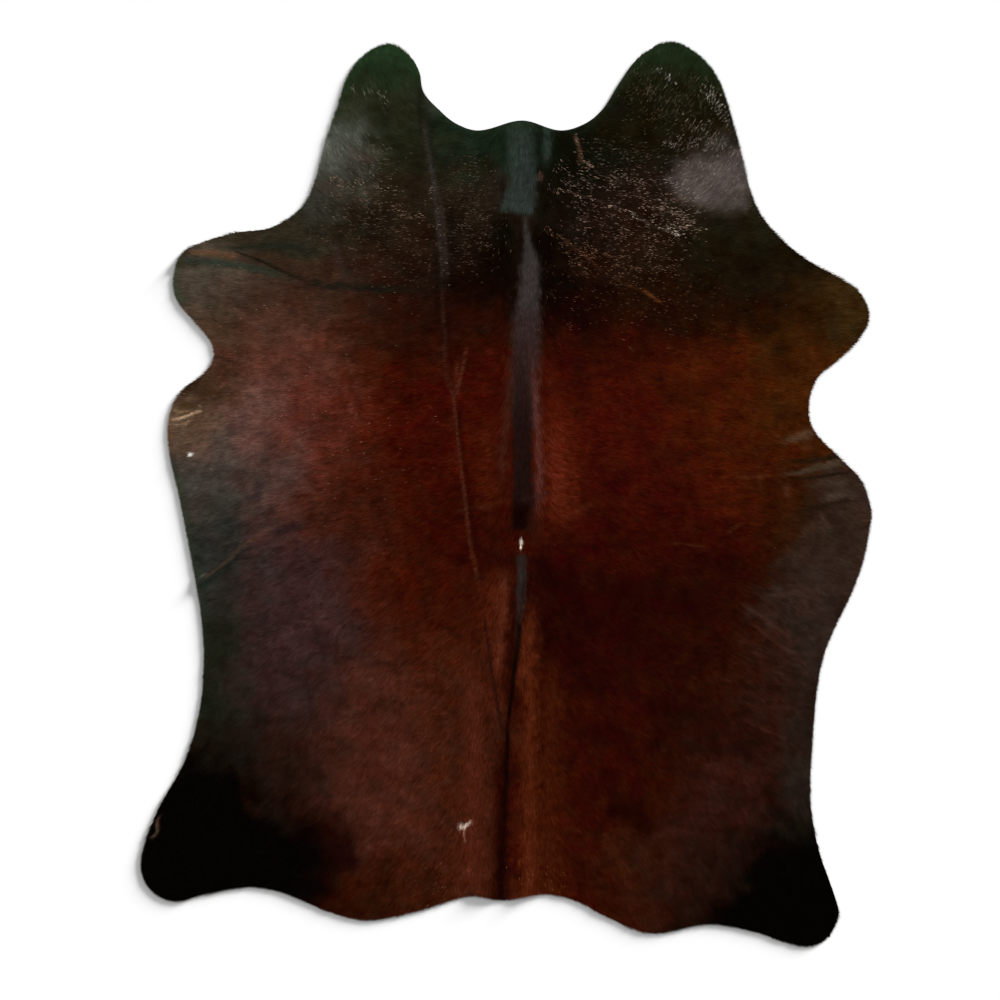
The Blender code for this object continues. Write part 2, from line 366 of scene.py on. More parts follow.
def add_top_map(mesh, *parts):
    """Unrolls the mesh's corners as they are seen from above, with each part of them in its own column."""
    corners, columns = np.vstack(parts), len(parts)
    low, size = corners.min(0) - MAP_MARGIN, np.ptp(corners, axis=0) + 2 * MAP_MARGIN
    share = [(part - low) / size * (1 / columns, 1) + (i / columns, 0) for i, part in enumerate(parts)]
    layer = mesh.uv_layers.new(name="OFBake")
    layer.uv.foreach_set("vector", np.vstack(share).astype(np.float32).ravel())


def add(tree, kind, inputs=None, **settings):
    """Adds a node with its settings, and sets or links its inputs by name or number."""
    node = tree.nodes.new(kind)
    for name, value in settings.items():
        setattr(node, name, value)
    for name, value in (inputs or {}).items():
        if isinstance(value, bpy.types.NodeSocket):
            tree.links.new(value, node.inputs[name])
        else:
            node.inputs[name].default_value = value
    return node


def new_material(name):
    """A material and its empty tree."""
    material = bpy.data.materials.new(name)
    material.use_nodes = True
    material.node_tree.nodes.clear()
    return material, material.node_tree


def add_shader(tree, inputs):
    """Adds a material's shader and output."""
    shader = add(tree, "ShaderNodeBsdfPrincipled", inputs)
    add(tree, "ShaderNodeOutputMaterial", {"Surface": shader.outputs[0]})


def mixed(tree, factor, first, second):
    """The colour between two others."""
    return add(tree, "ShaderNodeMix", {0: factor, 6: first, 7: second}, data_type="RGBA").outputs[2]


def ranged(tree, value, low, high, to_low, to_high):
    """A value moved from one range to another."""
    bounds = {"From Min": low, "From Max": high, "To Min": to_low, "To Max": to_high}
    return add(tree, "ShaderNodeMapRange", {"Value": value} | bounds).outputs[0]


def scaled(tree, vector, factor):
    """A vector or colour times a factor."""
    node = add(tree, "ShaderNodeVectorMath", {"Vector": vector, "Scale": factor}, operation="SCALE")
    return node.outputs[0]


def linear(colour):
    """An sRGB colour from 0 to 255 as light, with an alpha of 1."""
    share = np.asarray(colour, float) / 255
    light = np.where(share <= 0.04045, share / 12.92, ((share + 0.055) / 1.055) ** 2.4)
    return np.concatenate([light, np.ones(light.shape[:-1] + (1,))], -1)


def suede_material():
    """The flesh side: pale, napped, blotched, and faintly veined."""
    pale, dark, vein = linear((190, 168, 142)), linear((156, 130, 104)), linear((128, 104, 84))
    material, tree = new_material("suede")
    place = add(tree, "ShaderNodeTexCoord").outputs["Object"]
    cloud = add(tree, "ShaderNodeTexNoise", {"Vector": place, "Scale": 9, "Detail": 5, "Roughness": 0.6})
    nap = add(tree, "ShaderNodeTexNoise", {"Vector": place, "Scale": 900, "Detail": 3}).outputs[0]
    bent = mixed(tree, 0.35, place, cloud.outputs["Color"])
    veins = add(tree, "ShaderNodeTexVoronoi", {"Vector": bent, "Scale": 11}, feature="DISTANCE_TO_EDGE")
    body = mixed(tree, ranged(tree, cloud.outputs[0], 0.35, 0.65, 0, 1), pale, dark)
    veined = mixed(tree, ranged(tree, veins.outputs[0], 0, 0.03, 0.35, 0), body, vein)
    bump = add(tree, "ShaderNodeBump", {"Height": nap, "Distance": 0.3 * MM, "Strength": 0.6})
    add_shader(tree, {
        "Base Color": scaled(tree, veined, ranged(tree, nap, 0.3, 0.7, 0.86, 1.1)),
        "Normal": bump.outputs[0], "Roughness": 0.9, "Specular IOR Level": 0.2,
    })
    return material


def root_material():
    """The hair side under the coat: the coat's own colour, darkened as painted shade under the hair."""
    material, tree = new_material("hair_roots")
    coat = add(tree, "ShaderNodeAttribute", attribute_name="coat").outputs["Color"]
    place = add(tree, "ShaderNodeTexCoord").outputs["Object"]
    pores_and_shade = add(tree, "ShaderNodeTexNoise", {"Vector": place, "Scale": 700, "Detail": 2}).outputs[0]
    add_shader(tree, {
        # painted shade under the hair: the coat's colour at 0.5 to 0.9, in a fine pore-like pattern
        "Base Color": scaled(tree, coat, ranged(tree, pores_and_shade, 0.3, 0.7, 0.5, 0.9)),
        "Roughness": 0.8, "Specular IOR Level": 0.1,
    })
    return material


def add_object(name, data):
    """Adds an object at the origin."""
    added = bpy.data.objects.new(name, data)
    bpy.context.scene.collection.objects.link(added)
    return added


hide_outline = smooth_route(solid_outline(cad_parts["hide"]), True, EDGE_STEP)
leather = add_object("leather", leather_mesh(drawn_in(hide_outline, EDGE_INSET)))
leather.data.materials.append(root_material())
leather.data.materials.append(suede_material())
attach(leather, "root")
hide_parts("hide")


# The coat. Short, flat-lying hair, combed back along the spine and outwards over the flanks, in four parts.
# Each hair is a slim blade that Geometry Nodes grow from a skin on the leather, which carries the coat's
# colours, its lie, and its length, shorter beside the cut edge.

COAT_PATCHES = [
    # name, across, down, reach across, reach along, colour
    ("left neck flap, tip", 380, 62, 110, 50, (32, 47, 28)),
    ("left neck flap, middle", 375, 110, 110, 70, (36, 38, 25)),
    ("left neck flap, sheen", 334, 155, 60, 60, (88, 92, 85)),
    ("left neck flap, inner", 415, 140, 80, 70, (29, 31, 19)),
    ("left neck flap, root", 325, 195, 80, 50, (48, 49, 41)),
    ("left neck flap, dark foot", 348, 225, 70, 40, (25, 19, 12)),
    ("neck, left", 415, 198, 170, 80, (35, 27, 18)),
    ("nape", 500, 140, 110, 60, (22, 34, 23)),
    ("neck, right", 580, 150, 90, 80, (13, 15, 8)),
    ("beside the nape, right", 566, 170, 60, 90, (6, 6, 3)),
    ("neck, right, foot", 600, 205, 120, 70, (29, 19, 14)),
    ("right neck flap, tip", 660, 62, 110, 50, (29, 39, 23)),
    ("right neck flap, middle", 660, 115, 120, 70, (22, 18, 9)),
    ("right neck flap, sheen", 720, 180, 68, 62, (78, 70, 67)),
    ("right neck flap, root", 735, 225, 90, 45, (28, 25, 14)),
    ("left shoulder, top", 270, 237, 160, 45, (46, 40, 28)),
    ("foot of the neck, left", 425, 255, 150, 70, (33, 20, 13)),
    ("foot of the neck, dark beside the crease", 462, 258, 50, 55, (13, 6, 4)),
    ("dark beside the stripe, left", 500, 245, 40, 70, (3, 2, 0)),
    ("dark beside the stripe, right", 556, 262, 45, 90, (2, 1, 0)),
    ("foot of the neck, right", 612, 255, 110, 70, (28, 15, 9)),
    ("right shoulder, top", 735, 262, 150, 55, (22, 16, 8)),
    ("right foreleg", 845, 310, 90, 70, (51, 34, 14)),
    ("right foreleg, dark root", 805, 330, 45, 40, (30, 15, 4)),
    ("right shoulder", 700, 308, 180, 50, (28, 13, 5)),
    ("dark ahead of the saddle, right", 580, 305, 80, 60, (20, 4, 2)),
    ("dark ahead of the saddle, left", 470, 290, 90, 50, (12, 5, 4)),
    ("saddle, left front", 430, 325, 130, 70, (39, 15, 8)),
    ("left foreleg", 215, 285, 90, 50, (72, 63, 53)),
    ("left shoulder", 300, 305, 140, 70, (55, 35, 25)),
    ("left armpit", 220, 350, 70, 80, (69, 55, 39)),
    ("left armpit, red", 248, 366, 55, 40, (68, 34, 24)),
    ("left armpit, dark", 205, 382, 45, 35, (54, 34, 20)),
    ("left side, front", 290, 350, 110, 80, (88, 52, 41)),
    ("left side, front, brown inside", 356, 352, 60, 50, (54, 18, 6)),
    ("left flank, worn edge", 182, 425, 45, 70, (87, 68, 51)),
    ("left flank", 250, 430, 110, 80, (93, 63, 56)),
    ("left flank, inner", 320, 425, 90, 110, (83, 36, 26)),
    ("saddle, left", 435, 415, 130, 130, (57, 13, 2)),
    ("saddle, right", 600, 425, 160, 110, (56, 12, 1)),
    ("saddle, right front", 600, 350, 120, 50, (41, 11, 2)),
    ("right side", 725, 415, 140, 120, (58, 20, 3)),
    ("right side, red foot", 738, 484, 60, 40, (68, 21, 4)),
    ("right armpit", 790, 390, 60, 90, (56, 28, 7)),
    ("left belly, grey", 205, 485, 70, 80, (60, 55, 49)),
    ("left belly, inner", 265, 480, 80, 70, (73, 55, 49)),
    ("left side, pink", 300, 500, 55, 45, (72, 44, 37)),
    ("left side, middle", 345, 503, 110, 80, (56, 20, 10)),
    ("back, middle", 480, 525, 130, 80, (47, 11, 2)),
    ("back, right", 640, 515, 200, 85, (48, 10, 0)),
    ("right flank, upper", 775, 500, 70, 70, (42, 17, 4)),
    ("right flank, grey", 830, 530, 70, 110, (46, 33, 26)),
    ("left flank, grey foot", 215, 570, 80, 90, (38, 39, 35)),
    ("left side, lower", 305, 585, 130, 110, (55, 35, 34)),
    ("back, left, red", 370, 580, 60, 50, (68, 24, 12)),
    ("back, left, lower", 415, 595, 120, 100, (54, 14, 3)),
    ("back, right, lower", 600, 620, 130, 110, (32, 6, 0)),
    ("right side, lower", 700, 650, 120, 170, (34, 9, 2)),
    ("right flank, lower", 800, 610, 70, 90, (42, 30, 25)),
    ("left waist, edge", 212, 660, 55, 110, (25, 30, 20)),
    ("left waist", 295, 675, 120, 100, (46, 30, 28)),
    ("rump, left", 380, 745, 110, 200, (67, 32, 23)),
    ("rump, left of the tail", 450, 765, 75, 260, (59, 24, 13)),
    ("rump, right of the tail", 600, 755, 120, 200, (41, 9, 0)),
    ("right waist", 755, 700, 90, 100, (41, 20, 14)),
    ("right waist, dark foot", 712, 738, 110, 60, (29, 11, 6)),
    ("right waist, edge", 800, 745, 50, 200, (34, 26, 21)),
    ("left hind leg, front", 225, 750, 80, 60, (23, 17, 13)),
    ("left hind leg, black", 190, 840, 140, 110, (1, 1, 0)),
    ("left hind leg, inside", 308, 868, 60, 80, (4, 1, 0)),
    ("left thigh", 300, 770, 70, 80, (38, 20, 15)),
    ("left thigh, dark red", 338, 846, 50, 60, (28, 7, 4)),
    ("rump, left edge", 375, 890, 80, 50, (42, 14, 4)),
    ("tail edge, right", 560, 850, 80, 100, (48, 11, 1)),
    ("rump, right lobe", 650, 860, 110, 80, (46, 20, 12)),
    ("right thigh", 720, 790, 100, 80, (43, 19, 14)),
    ("right thigh, inside", 700, 860, 70, 70, (27, 14, 11)),
    ("right hind leg, black", 800, 895, 120, 130, (1, 1, 0)),
]
COAT_LINES = [
    # name, colour, strength, half width at the ends, soft edge, share that fades at each end, route
    # painted sheen: the nape's grey green rows, its foot, its pale right border and its pale streaks
    ("nape, grey green", (46, 54, 49), 0.85, (28, 40), 26, (0.12, 0.05),
     [(521, 119), (521, 150), (522, 185), (518, 214)]),
    ("nape, foot", (46, 54, 51), 0.6, (24, 44), 20, (0.4, 0.06), [(518, 194), (517, 205), (516, 214)]),
    ("nape, dark middle", (26, 37, 30), 0.5, (8, 5), 20, (0.15, 0.3), [(534, 126), (534, 150), (533, 172)]),
    ("nape, pale right border", (48, 61, 53), 0.75, (10, 8), 20, (0.1, 0.3),
     [(546, 124), (547, 145), (545, 168)]),
    ("nape, pale streak", (62, 68, 63), 0.4, (2, 2), 5, (0.2, 0.3), [(521, 130), (521, 165), (520, 200)]),
    ("nape, second pale streak", (58, 62, 58), 0.35, (2, 2), 5, (0.2, 0.3),
     [(527, 140), (526, 175), (524, 210)]),
    ("nape, pink mark", (92, 60, 54), 0.7, (6, 6), 8, (0.2, 0.2), [(541, 172), (540, 181)]),
    ("neck, faint band", (38, 34, 30), 0.5, (8, 10), 16, (0.3, 0.3), [(499, 158), (498, 185), (497, 212)]),
    ("edge of the nape and neck flaps, greenish", (31, 46, 30), 0.6, (8, 8), 36, (0.05, 0.05),
     [(425, 90), (441, 112), (472, 130), (508, 123), (544, 127), (580, 126), (607, 102), (627, 71),
      (650, 48), (690, 47), (708, 68)]),
    ("edge of the left neck flap, greenish", (33, 54, 31), 0.7, (12, 12), 40, (0.15, 0.05),
     [(322, 135), (335, 105), (350, 75), (372, 52), (395, 48), (412, 62), (422, 82)]),
    # painted highlight on the fold beside the crease
    ("left neck flap, fold beside the crease", (62, 62, 54), 0.6, (10, 16), 22, (0.1, 0.35),
     [(428, 84), (431, 102), (436, 122)]),
    ("left neck flap, band under the sheen", (78, 60, 52), 0.35, (16, 8), 26, (0.1, 0.5),
     [(312, 183), (330, 188), (352, 196)]),
    ("left neck flap, brown streak", (86, 72, 62), 0.5, (10, 8), 18, (0.3, 0.3),
     [(345, 150), (362, 157), (378, 162)]),
    ("right neck flap, sheen, upper", (88, 78, 74), 0.55, (22, 16), 34, (0.3, 0.1),
     [(668, 170), (700, 168), (733, 172)]),
    ("right neck flap, sheen, lower", (86, 76, 74), 0.6, (12, 20), 30, (0.3, 0.05),
     [(690, 196), (720, 202), (750, 205)]),
    ("right neck flap, edge of the sheen", (20, 15, 9), 0.6, (10, 14), 20, (0.3, 0.1),
     [(683, 216), (710, 222), (748, 226)]),
    # painted sheen along the spine: the stripe's grey rows, from its tip to its middle and its grey right
    # border
    ("stripe, tip", (52, 48, 46), 1.0, (2, 18), 16, (0.1, 0.1),
     [(525, 213), (526, 228), (529, 250), (530, 268)]),
    ("stripe, smoky front", (55, 49, 48), 1.0, (18, 33), 26, (0.2, 0.3),
     [(530, 248), (530, 272), (529, 300), (527, 332)]),
    ("stripe, front", (49, 37, 36), 1.0, (34, 33), 28, (0.3, 0.3), [(528, 300), (527, 330), (525, 372)]),
    ("stripe, middle", (42, 28, 26), 1.0, (33, 33), 30, (0.25, 0.2),
     [(526, 330), (525, 372), (524, 415), (523, 440)]),
    ("stripe, left border", (62, 33, 28), 0.7, (8, 8), 26, (0.25, 0.3),
     [(512, 340), (510, 380), (505, 425), (502, 470), (504, 510)]),
    ("stripe, glow on the right", (90, 33, 19), 1.0, (22, 26), 110, (0.6, 0.3),
     [(552, 355), (556, 430), (560, 480), (556, 545)]),
    ("stripe, glow on the left", (78, 30, 15), 0.7, (12, 16), 80, (0.35, 0.3),
     [(488, 395), (487, 440), (488, 490), (492, 540)]),
    ("stripe, grey right border", (86, 48, 44), 0.8, (9, 10), 26, (0.3, 0.3),
     [(533, 330), (535, 390), (537, 440), (539, 480), (537, 545)]),
    ("stripe, dark core", (28, 16, 15), 1.0, (20, 24), 22, (0.4, 0.05),
     [(523, 362), (523, 400), (522, 440), (523, 480), (522, 534)]),
    ("stripe, dark foot", (18, 4, 2), 1.0, (20, 16), 16, (0.3, 0.2), [(521, 498), (520, 512), (521, 532)]),
    ("stripe, beside the foot, right", (46, 16, 9), 0.8, (12, 12), 20, (0.3, 0.2),
     [(532, 505), (534, 530), (533, 552)]),
    ("line across the back", (72, 36, 24), 0.4, (3, 4), 10, (0.3, 0.2),
     [(440, 514), (475, 508), (500, 503), (515, 500)]),
    ("line across the stripe", (46, 30, 29), 0.6, (4, 4), 10, (0.3, 0.4),
     [(512, 502), (525, 499), (540, 495), (560, 488)]),
    ("line across the back, dark", (36, 8, 3), 0.5, (3, 4), 7, (0.3, 0.3),
     [(448, 521), (478, 516), (505, 510)]),
    ("right of the spine, faint curve", (76, 30, 18), 0.5, (8, 6), 18, (0.3, 0.4),
     [(548, 520), (575, 512), (596, 500), (602, 492)]),
    ("white spot on the spine", (236, 220, 206), 1.0, (3, 3), 2, (0, 0), [(521, 540), (520.5, 548)]),
    # Along the tail furrow, the dark rows at its head and down its line are painted shade in the furrow, and
    # the pale sides and swells beside it are painted highlight on their slopes.
    ("furrow, smoky head", (43, 35, 34), 0.95, (14, 5), 14, (0.05, 0.25),
     [(521, 553), (522, 575), (521, 600), (519, 625), (516, 650)]),
    ("furrow, dark core of the head", (24, 18, 17), 0.7, (5, 3), 9, (0.3, 0.2),
     [(524, 568), (523, 590), (521, 612), (518, 635)]),
    ("furrow, dark on the left of the head", (34, 10, 5), 0.7, (8, 6), 18, (0.2, 0.3),
     [(513, 548), (513, 562), (512, 580)]),
    ("furrow, dark on the right of the head", (26, 4, 1), 0.8, (14, 22), 34, (0.2, 0.4),
     [(538, 550), (548, 572), (560, 600)]),
    ("furrow, red mark", (120, 30, 16), 0.6, (4, 4), 4, (0.1, 0.1), [(534, 583), (535, 584)]),
    ("furrow, pale left side", (90, 42, 26), 0.8, (14, 13), 34, (0.2, 0.25),
     [(506, 562), (503, 590), (502, 620), (499, 650), (498, 690)]),
    ("furrow, pale left side, outer", (76, 29, 15), 0.75, (18, 16), 50, (0.25, 0.3),
     [(494, 570), (490, 605), (489, 640), (490, 680)]),
    ("swell left of the tail", (71, 29, 17), 0.85, (20, 30), 44, (0.2, 0.05),
     [(476, 640), (474, 680), (475, 730), (474, 780), (472, 830), (470, 890)]),
    ("swell right of the tail", (84, 34, 16), 0.95, (10, 20), 50, (0.15, 0),
     [(530, 585), (530, 615), (531, 650), (530, 690), (530, 740), (530, 790), (530, 840), (531, 896)]),
    ("swell right of the furrow's head", (80, 32, 15), 0.8, (8, 14), 26, (0.3, 0.3),
     [(526, 610), (524, 640), (521, 670), (519, 700)]),
    ("swell right of the tail, outer", (66, 26, 10), 0.7, (24, 30), 90, (0.2, 0),
     [(549, 640), (549, 700), (548, 760), (548, 840), (550, 896)]),
    ("furrow, soft shade", (34, 6, 1), 0.85, (5, 20), 30, (0.35, 0),
     [(511, 690), (506, 730), (503, 770), (502, 810), (501, 850), (500, 897)]),
    ("furrow, line", (20, 9, 8), 0.95, (6, 4), 9, (0.2, 0.1),
     [(520, 612), (518, 640), (515, 668), (512, 690)]),
    ("furrow, black line", (10, 2, 1), 0.95, (3.5, 4.5), 7, (0.15, 0.1),
     [(518, 640), (515, 668), (511, 700), (508, 730), (507, 765), (505, 795), (504, 820)]),
    ("furrow, foot", (18, 3, 1), 0.85, (6, 8), 16, (0.3, 0),
     [(507, 745), (505, 790), (503, 830), (502, 865), (502, 897)]),
    # the rows named crease: the pale ones are painted highlight along the press crease's ridge, the dark ones
    # painted shade beside it
    ("crease, pale", (78, 70, 64), 0.6, (3, 2.5), 4, (0.1, 0.1),
     [(423, 118), (427, 145), (431, 170), (435, 195), (438, 225), (441, 255), (443, 285)]),
    ("crease, pale, second line", (74, 66, 64), 0.45, (2.5, 2.5), 4, (0.2, 0.2),
     [(430, 150), (436, 185), (441, 210), (444, 235), (446, 262), (447, 290)]),
    ("crease, grey sheen", (56, 50, 46), 0.4, (12, 8), 22, (0.15, 0.3),
     [(424, 110), (429, 150), (434, 190), (440, 230), (443, 270), (445, 310)]),
    ("beside the crease, dark", (14, 11, 8), 0.7, (8, 9), 24, (0.3, 0.3),
     [(448, 196), (452, 232), (455, 268)]),
    ("crease, dark line", (16, 12, 8), 0.55, (2.5, 2), 4, (0.05, 0.1),
     [(420, 80), (420, 100), (421, 120), (425, 145), (428, 170), (432, 200), (434, 235), (437, 270),
      (440, 310), (444, 350)]),
    ("crease, pale middle", (74, 46, 38), 0.55, (2.5, 2.5), 4, (0.1, 0.1),
     [(442, 280), (443, 310), (445, 340), (448, 380), (454, 398), (456, 420)]),
    ("crease, pale, saddle", (90, 48, 34), 0.75, (2.5, 2.5), 4, (0.1, 0.35),
     [(448, 382), (454, 400), (457, 432), (460, 460), (464, 490), (467, 516), (470, 540), (474, 560),
      (478, 582), (482, 610), (486, 632)]),
    ("crease, dark beside it", (32, 9, 5), 0.5, (3, 3), 5, (0.1, 0.1),
     [(460, 402), (462, 432), (466, 462), (470, 492), (474, 525), (479, 552), (484, 585)]),
    ("crease, dark end", (36, 14, 9), 0.85, (3, 4.5), 5, (0.2, 0.05),
     [(481, 604), (485, 622), (489, 650), (493, 680), (497, 702), (501, 724), (506, 742)]),
    ("crease, branch", (92, 52, 40), 0.75, (2.5, 2.5), 4, (0.25, 0.1),
     [(469, 340), (465, 358), (461, 376), (456, 398)]),
    ("crease, second branch", (84, 46, 34), 0.6, (2.5, 2.5), 4, (0.25, 0.1),
     [(459, 352), (456, 372), (454, 394)]),
    ("crease, short branch", (62, 30, 18), 0.4, (2, 2), 3, (0.2, 0.1),
     [(432, 350), (440, 368), (448, 388)]),
    # On the left foreleg fold, the teal bands are painted shadow beside its crest, the orange crest rows
    # painted highlight, and its crease and the left shoulder's dark band below it painted shade.
    ("left foreleg, upper teal band", (31, 34, 27), 0.75, (6, 9), 12, (0.15, 0.3),
     [(222, 250), (245, 247), (270, 246), (300, 249), (330, 256)]),
    ("left foreleg, orange crest", (98, 70, 50), 0.85, (6, 7), 8, (0.2, 0.1),
     [(186, 254), (205, 253), (222, 255), (240, 257)]),
    ("left foreleg, orange crest, inner", (58, 40, 29), 0.7, (8, 8), 10, (0.15, 0.3),
     [(238, 259), (262, 257), (285, 260), (305, 265), (330, 262)]),
    ("left foreleg, brown end", (64, 56, 36), 0.6, (6, 6), 10, (0.2, 0.3),
     [(176, 267), (188, 264), (200, 263)]),
    ("left foreleg, crease", (24, 20, 14), 0.8, (2, 4), 4, (0.2, 0.2),
     [(226, 249), (248, 256), (268, 265), (288, 274), (312, 283)]),
    ("left foreleg, lower teal band", (44, 52, 42), 0.8, (7, 9), 9, (0.1, 0.45),
     [(178, 261), (200, 262), (222, 264), (245, 267), (268, 272), (290, 279), (312, 285)]),
    ("left shoulder, dark band", (25, 24, 20), 0.75, (9, 8), 12, (0.1, 0.4),
     [(305, 281), (335, 286), (370, 288), (400, 290), (440, 292)]),
    ("left shoulder, grey ridge", (50, 44, 40), 0.55, (9, 7), 14, (0.3, 0.2),
     [(330, 238), (338, 255), (344, 270), (348, 285)]),
    ("left shoulder, orange foot", (62, 38, 26), 0.5, (6, 8), 9, (0.2, 0.3),
     [(318, 286), (332, 280), (346, 272)]),
    ("left foreleg, rosy crease", (84, 60, 50), 0.5, (6, 5), 10, (0.3, 0.4),
     [(212, 302), (238, 312), (262, 330), (300, 345)]),
    ("left armpit, dark line", (46, 28, 20), 0.6, (3, 4), 7, (0.1, 0.4),
     [(214, 356), (228, 360), (242, 366)]),
    ("edge of the left foreleg, greenish", (50, 66, 47), 0.75, (14, 14), 22, (0.2, 0.2),
     [(180, 250), (172, 270), (174, 292), (183, 308)]),
    ("left flank, edge above the worn curl", (44, 30, 17), 0.75, (10, 10), 16, (0.2, 0.2),
     [(200, 376), (190, 384), (180, 398)]),
    ("left flank, ochre edge", (82, 60, 32), 0.7, (8, 12), 16, (0.1, 0.1),
     [(168, 405), (165, 425), (168, 442)]),
    ("worn curl, shade", (62, 42, 22), 0.7, (8, 8), 10, (0.2, 0.2), [(178, 404), (188, 406), (197, 404)]),
    ("worn curl", (176, 146, 118), 0.85, (3, 2.5), 4, (0.1, 0.2),
     [(170, 420), (180, 418), (190, 415), (198, 411), (203, 407)]),
    ("worn curl, upper", (150, 120, 88), 0.6, (2.5, 2), 4, (0.2, 0.2),
     [(172, 409), (182, 412), (190, 411)]),
    ("worn curl, lower", (140, 112, 90), 0.6, (3, 3), 4, (0.2, 0.3), [(171, 425), (182, 424), (194, 419)]),
    ("white dot at the left edge", (232, 230, 224), 1.0, (3.5, 3.5), 2, (0, 0), [(191, 453), (191.5, 455)]),
    ("edge of the left flank, greenish", (44, 57, 40), 0.75, (10, 10), 34, (0.15, 0.2),
     [(172, 455), (181, 505), (190, 555), (197, 600), (203, 640)]),
    ("left flank, brown ridge", (92, 62, 50), 0.4, (12, 12), 26, (0.3, 0.4),
     [(235, 440), (262, 418), (295, 398)]),
    ("left flank, dark dell", (44, 34, 36), 0.55, (14, 10), 24, (0.3, 0.3),
     [(262, 478), (258, 492), (252, 505)]),
    ("left flank, pale arc", (84, 58, 48), 0.45, (4, 5), 9, (0.3, 0.3),
     [(255, 505), (275, 498), (295, 490), (320, 482)]),
    # painted highlight on the left flank's wrinkles in its pale wrinkle rows, and painted shade in its dark
    # hollow
    ("left flank, upper wrinkle", (84, 56, 44), 0.5, (4, 4), 8, (0.3, 0.3),
     [(222, 562), (240, 548), (262, 534), (285, 522), (310, 512)]),
    ("left flank, lower wrinkle", (100, 66, 50), 0.55, (3, 3), 6, (0.2, 0.3),
     [(200, 581), (212, 572), (226, 562), (242, 551)]),
    ("left flank, dark hollow", (30, 22, 24), 0.6, (8, 10), 16, (0.3, 0.3),
     [(268, 535), (290, 528), (312, 522)]),
    ("left flank, teal foot", (26, 36, 28), 0.5, (10, 8), 18, (0.1, 0.3),
     [(196, 590), (215, 575), (236, 560)]),
    ("left flank, short line", (30, 18, 15), 0.5, (2, 2), 4, (0.2, 0.2),
     [(300, 617), (318, 619), (335, 617)]),
    ("left flank, short line, pale", (74, 46, 38), 0.4, (2, 2), 4, (0.2, 0.2),
     [(298, 621), (318, 623), (334, 621)]),
    ("left edge, scratch", (112, 116, 104), 0.6, (1.5, 1.5), 3, (0.2, 0.2), [(200, 578), (206, 573)]),
    ("left side, dark spot", (40, 26, 10), 0.55, (8, 8), 20, (0.2, 0.2), [(324, 412), (326, 422)]),
    ("left side, dark column", (42, 16, 8), 0.5, (10, 8), 24, (0.3, 0.3),
     [(345, 470), (342, 500), (338, 515)]),
    # At the right armpit, the pale, middle and third ridges are painted highlight on its wrinkles, and the
    # dark furrows and dark line are painted shade between them.
    ("right armpit, pale ridge", (86, 66, 52), 0.6, (5, 12), 14, (0.5, 0.05),
     [(772, 447), (785, 441), (800, 436), (814, 433)]),
    ("right armpit, rosy foot", (78, 46, 34), 0.45, (7, 7), 12, (0.3, 0.3), [(798, 448), (815, 446)]),
    ("right armpit, dark furrow", (26, 20, 12), 0.8, (4, 7), 10, (0.4, 0),
     [(775, 459), (800, 461), (820, 459), (842, 455)]),
    ("right armpit, middle ridge", (74, 62, 50), 0.7, (3, 9), 9, (0.45, 0.05),
     [(768, 476), (795, 473), (815, 468), (842, 462)]),
    ("right armpit, middle ridge, tail", (84, 48, 34), 0.5, (2.5, 3), 5, (0.3, 0.3),
     [(735, 478), (755, 477), (778, 475)]),
    ("right armpit, dark line", (24, 17, 11), 0.8, (3, 4), 6, (0.3, 0),
     [(788, 479), (810, 478), (830, 475), (848, 472)]),
    ("right armpit, third ridge", (60, 48, 38), 0.5, (4, 8), 12, (0.4, 0.1),
     [(800, 488), (825, 484), (850, 480)]),
    ("right armpit, knee", (78, 44, 34), 0.6, (8, 6), 12, (0.2, 0.3), [(784, 484), (787, 492), (784, 500)]),
    ("right armpit, grey bulge", (70, 58, 48), 0.6, (10, 12), 20, (0.3, 0.2),
     [(816, 500), (838, 496), (858, 494)]),
    ("right armpit, back furrow", (24, 16, 10), 0.75, (5, 6), 9, (0.3, 0.2),
     [(818, 506), (835, 503), (852, 498)]),
    ("right flank, dark corner", (24, 15, 9), 0.5, (16, 10), 26, (0.3, 0.4),
     [(792, 520), (815, 508), (840, 506)]),
    ("right flank, pale knee", (72, 48, 36), 0.5, (5, 5), 12, (0.2, 0.3),
     [(818, 508), (822, 518), (832, 530)]),
    ("right flank, line", (70, 34, 22), 0.5, (2.5, 2.5), 6, (0.3, 0.3),
     [(664, 543), (690, 545), (716, 548)]),
    ("right flank, arc", (80, 40, 28), 0.5, (3, 3), 6, (0.2, 0.3), [(726, 535), (735, 527), (746, 523)]),
    ("right flank ray, front", (70, 46, 36), 0.45, (3, 5), 8, (0.3, 0.1),
     [(737, 600), (765, 619), (792, 640)]),
    ("right flank ray, back", (66, 42, 32), 0.4, (3, 5), 8, (0.3, 0.1),
     [(742, 618), (768, 636), (794, 656)]),
    ("right waist line", (70, 38, 30), 0.45, (3, 3), 8, (0.3, 0.3), [(740, 718), (765, 729), (790, 742)]),
    ("right waist, purple blotch", (26, 9, 9), 0.7, (12, 10), 26, (0.3, 0.3),
     [(728, 742), (742, 752), (756, 752)]),
    ("right waist, rosy lump", (58, 28, 24), 0.5, (12, 12), 26, (0.3, 0.3),
     [(700, 764), (716, 768), (730, 765)]),
    ("right thigh, rosy arc", (58, 30, 24), 0.55, (5, 6), 16, (0.3, 0.3),
     [(640, 842), (665, 832), (692, 832), (716, 842)]),
    ("right thigh, dark band", (22, 9, 8), 0.6, (10, 14), 34, (0.3, 0.2),
     [(735, 855), (760, 848), (785, 838)]),
    ("rump, right, dark patch", (22, 4, 1), 0.7, (28, 26), 44, (0.1, 0.2),
     [(604, 806), (622, 810), (640, 818), (650, 840)]),
    ("left of the spine, dark spot", (28, 5, 1), 0.6, (14, 14), 30, (0.2, 0.2), [(455, 552), (466, 566)]),
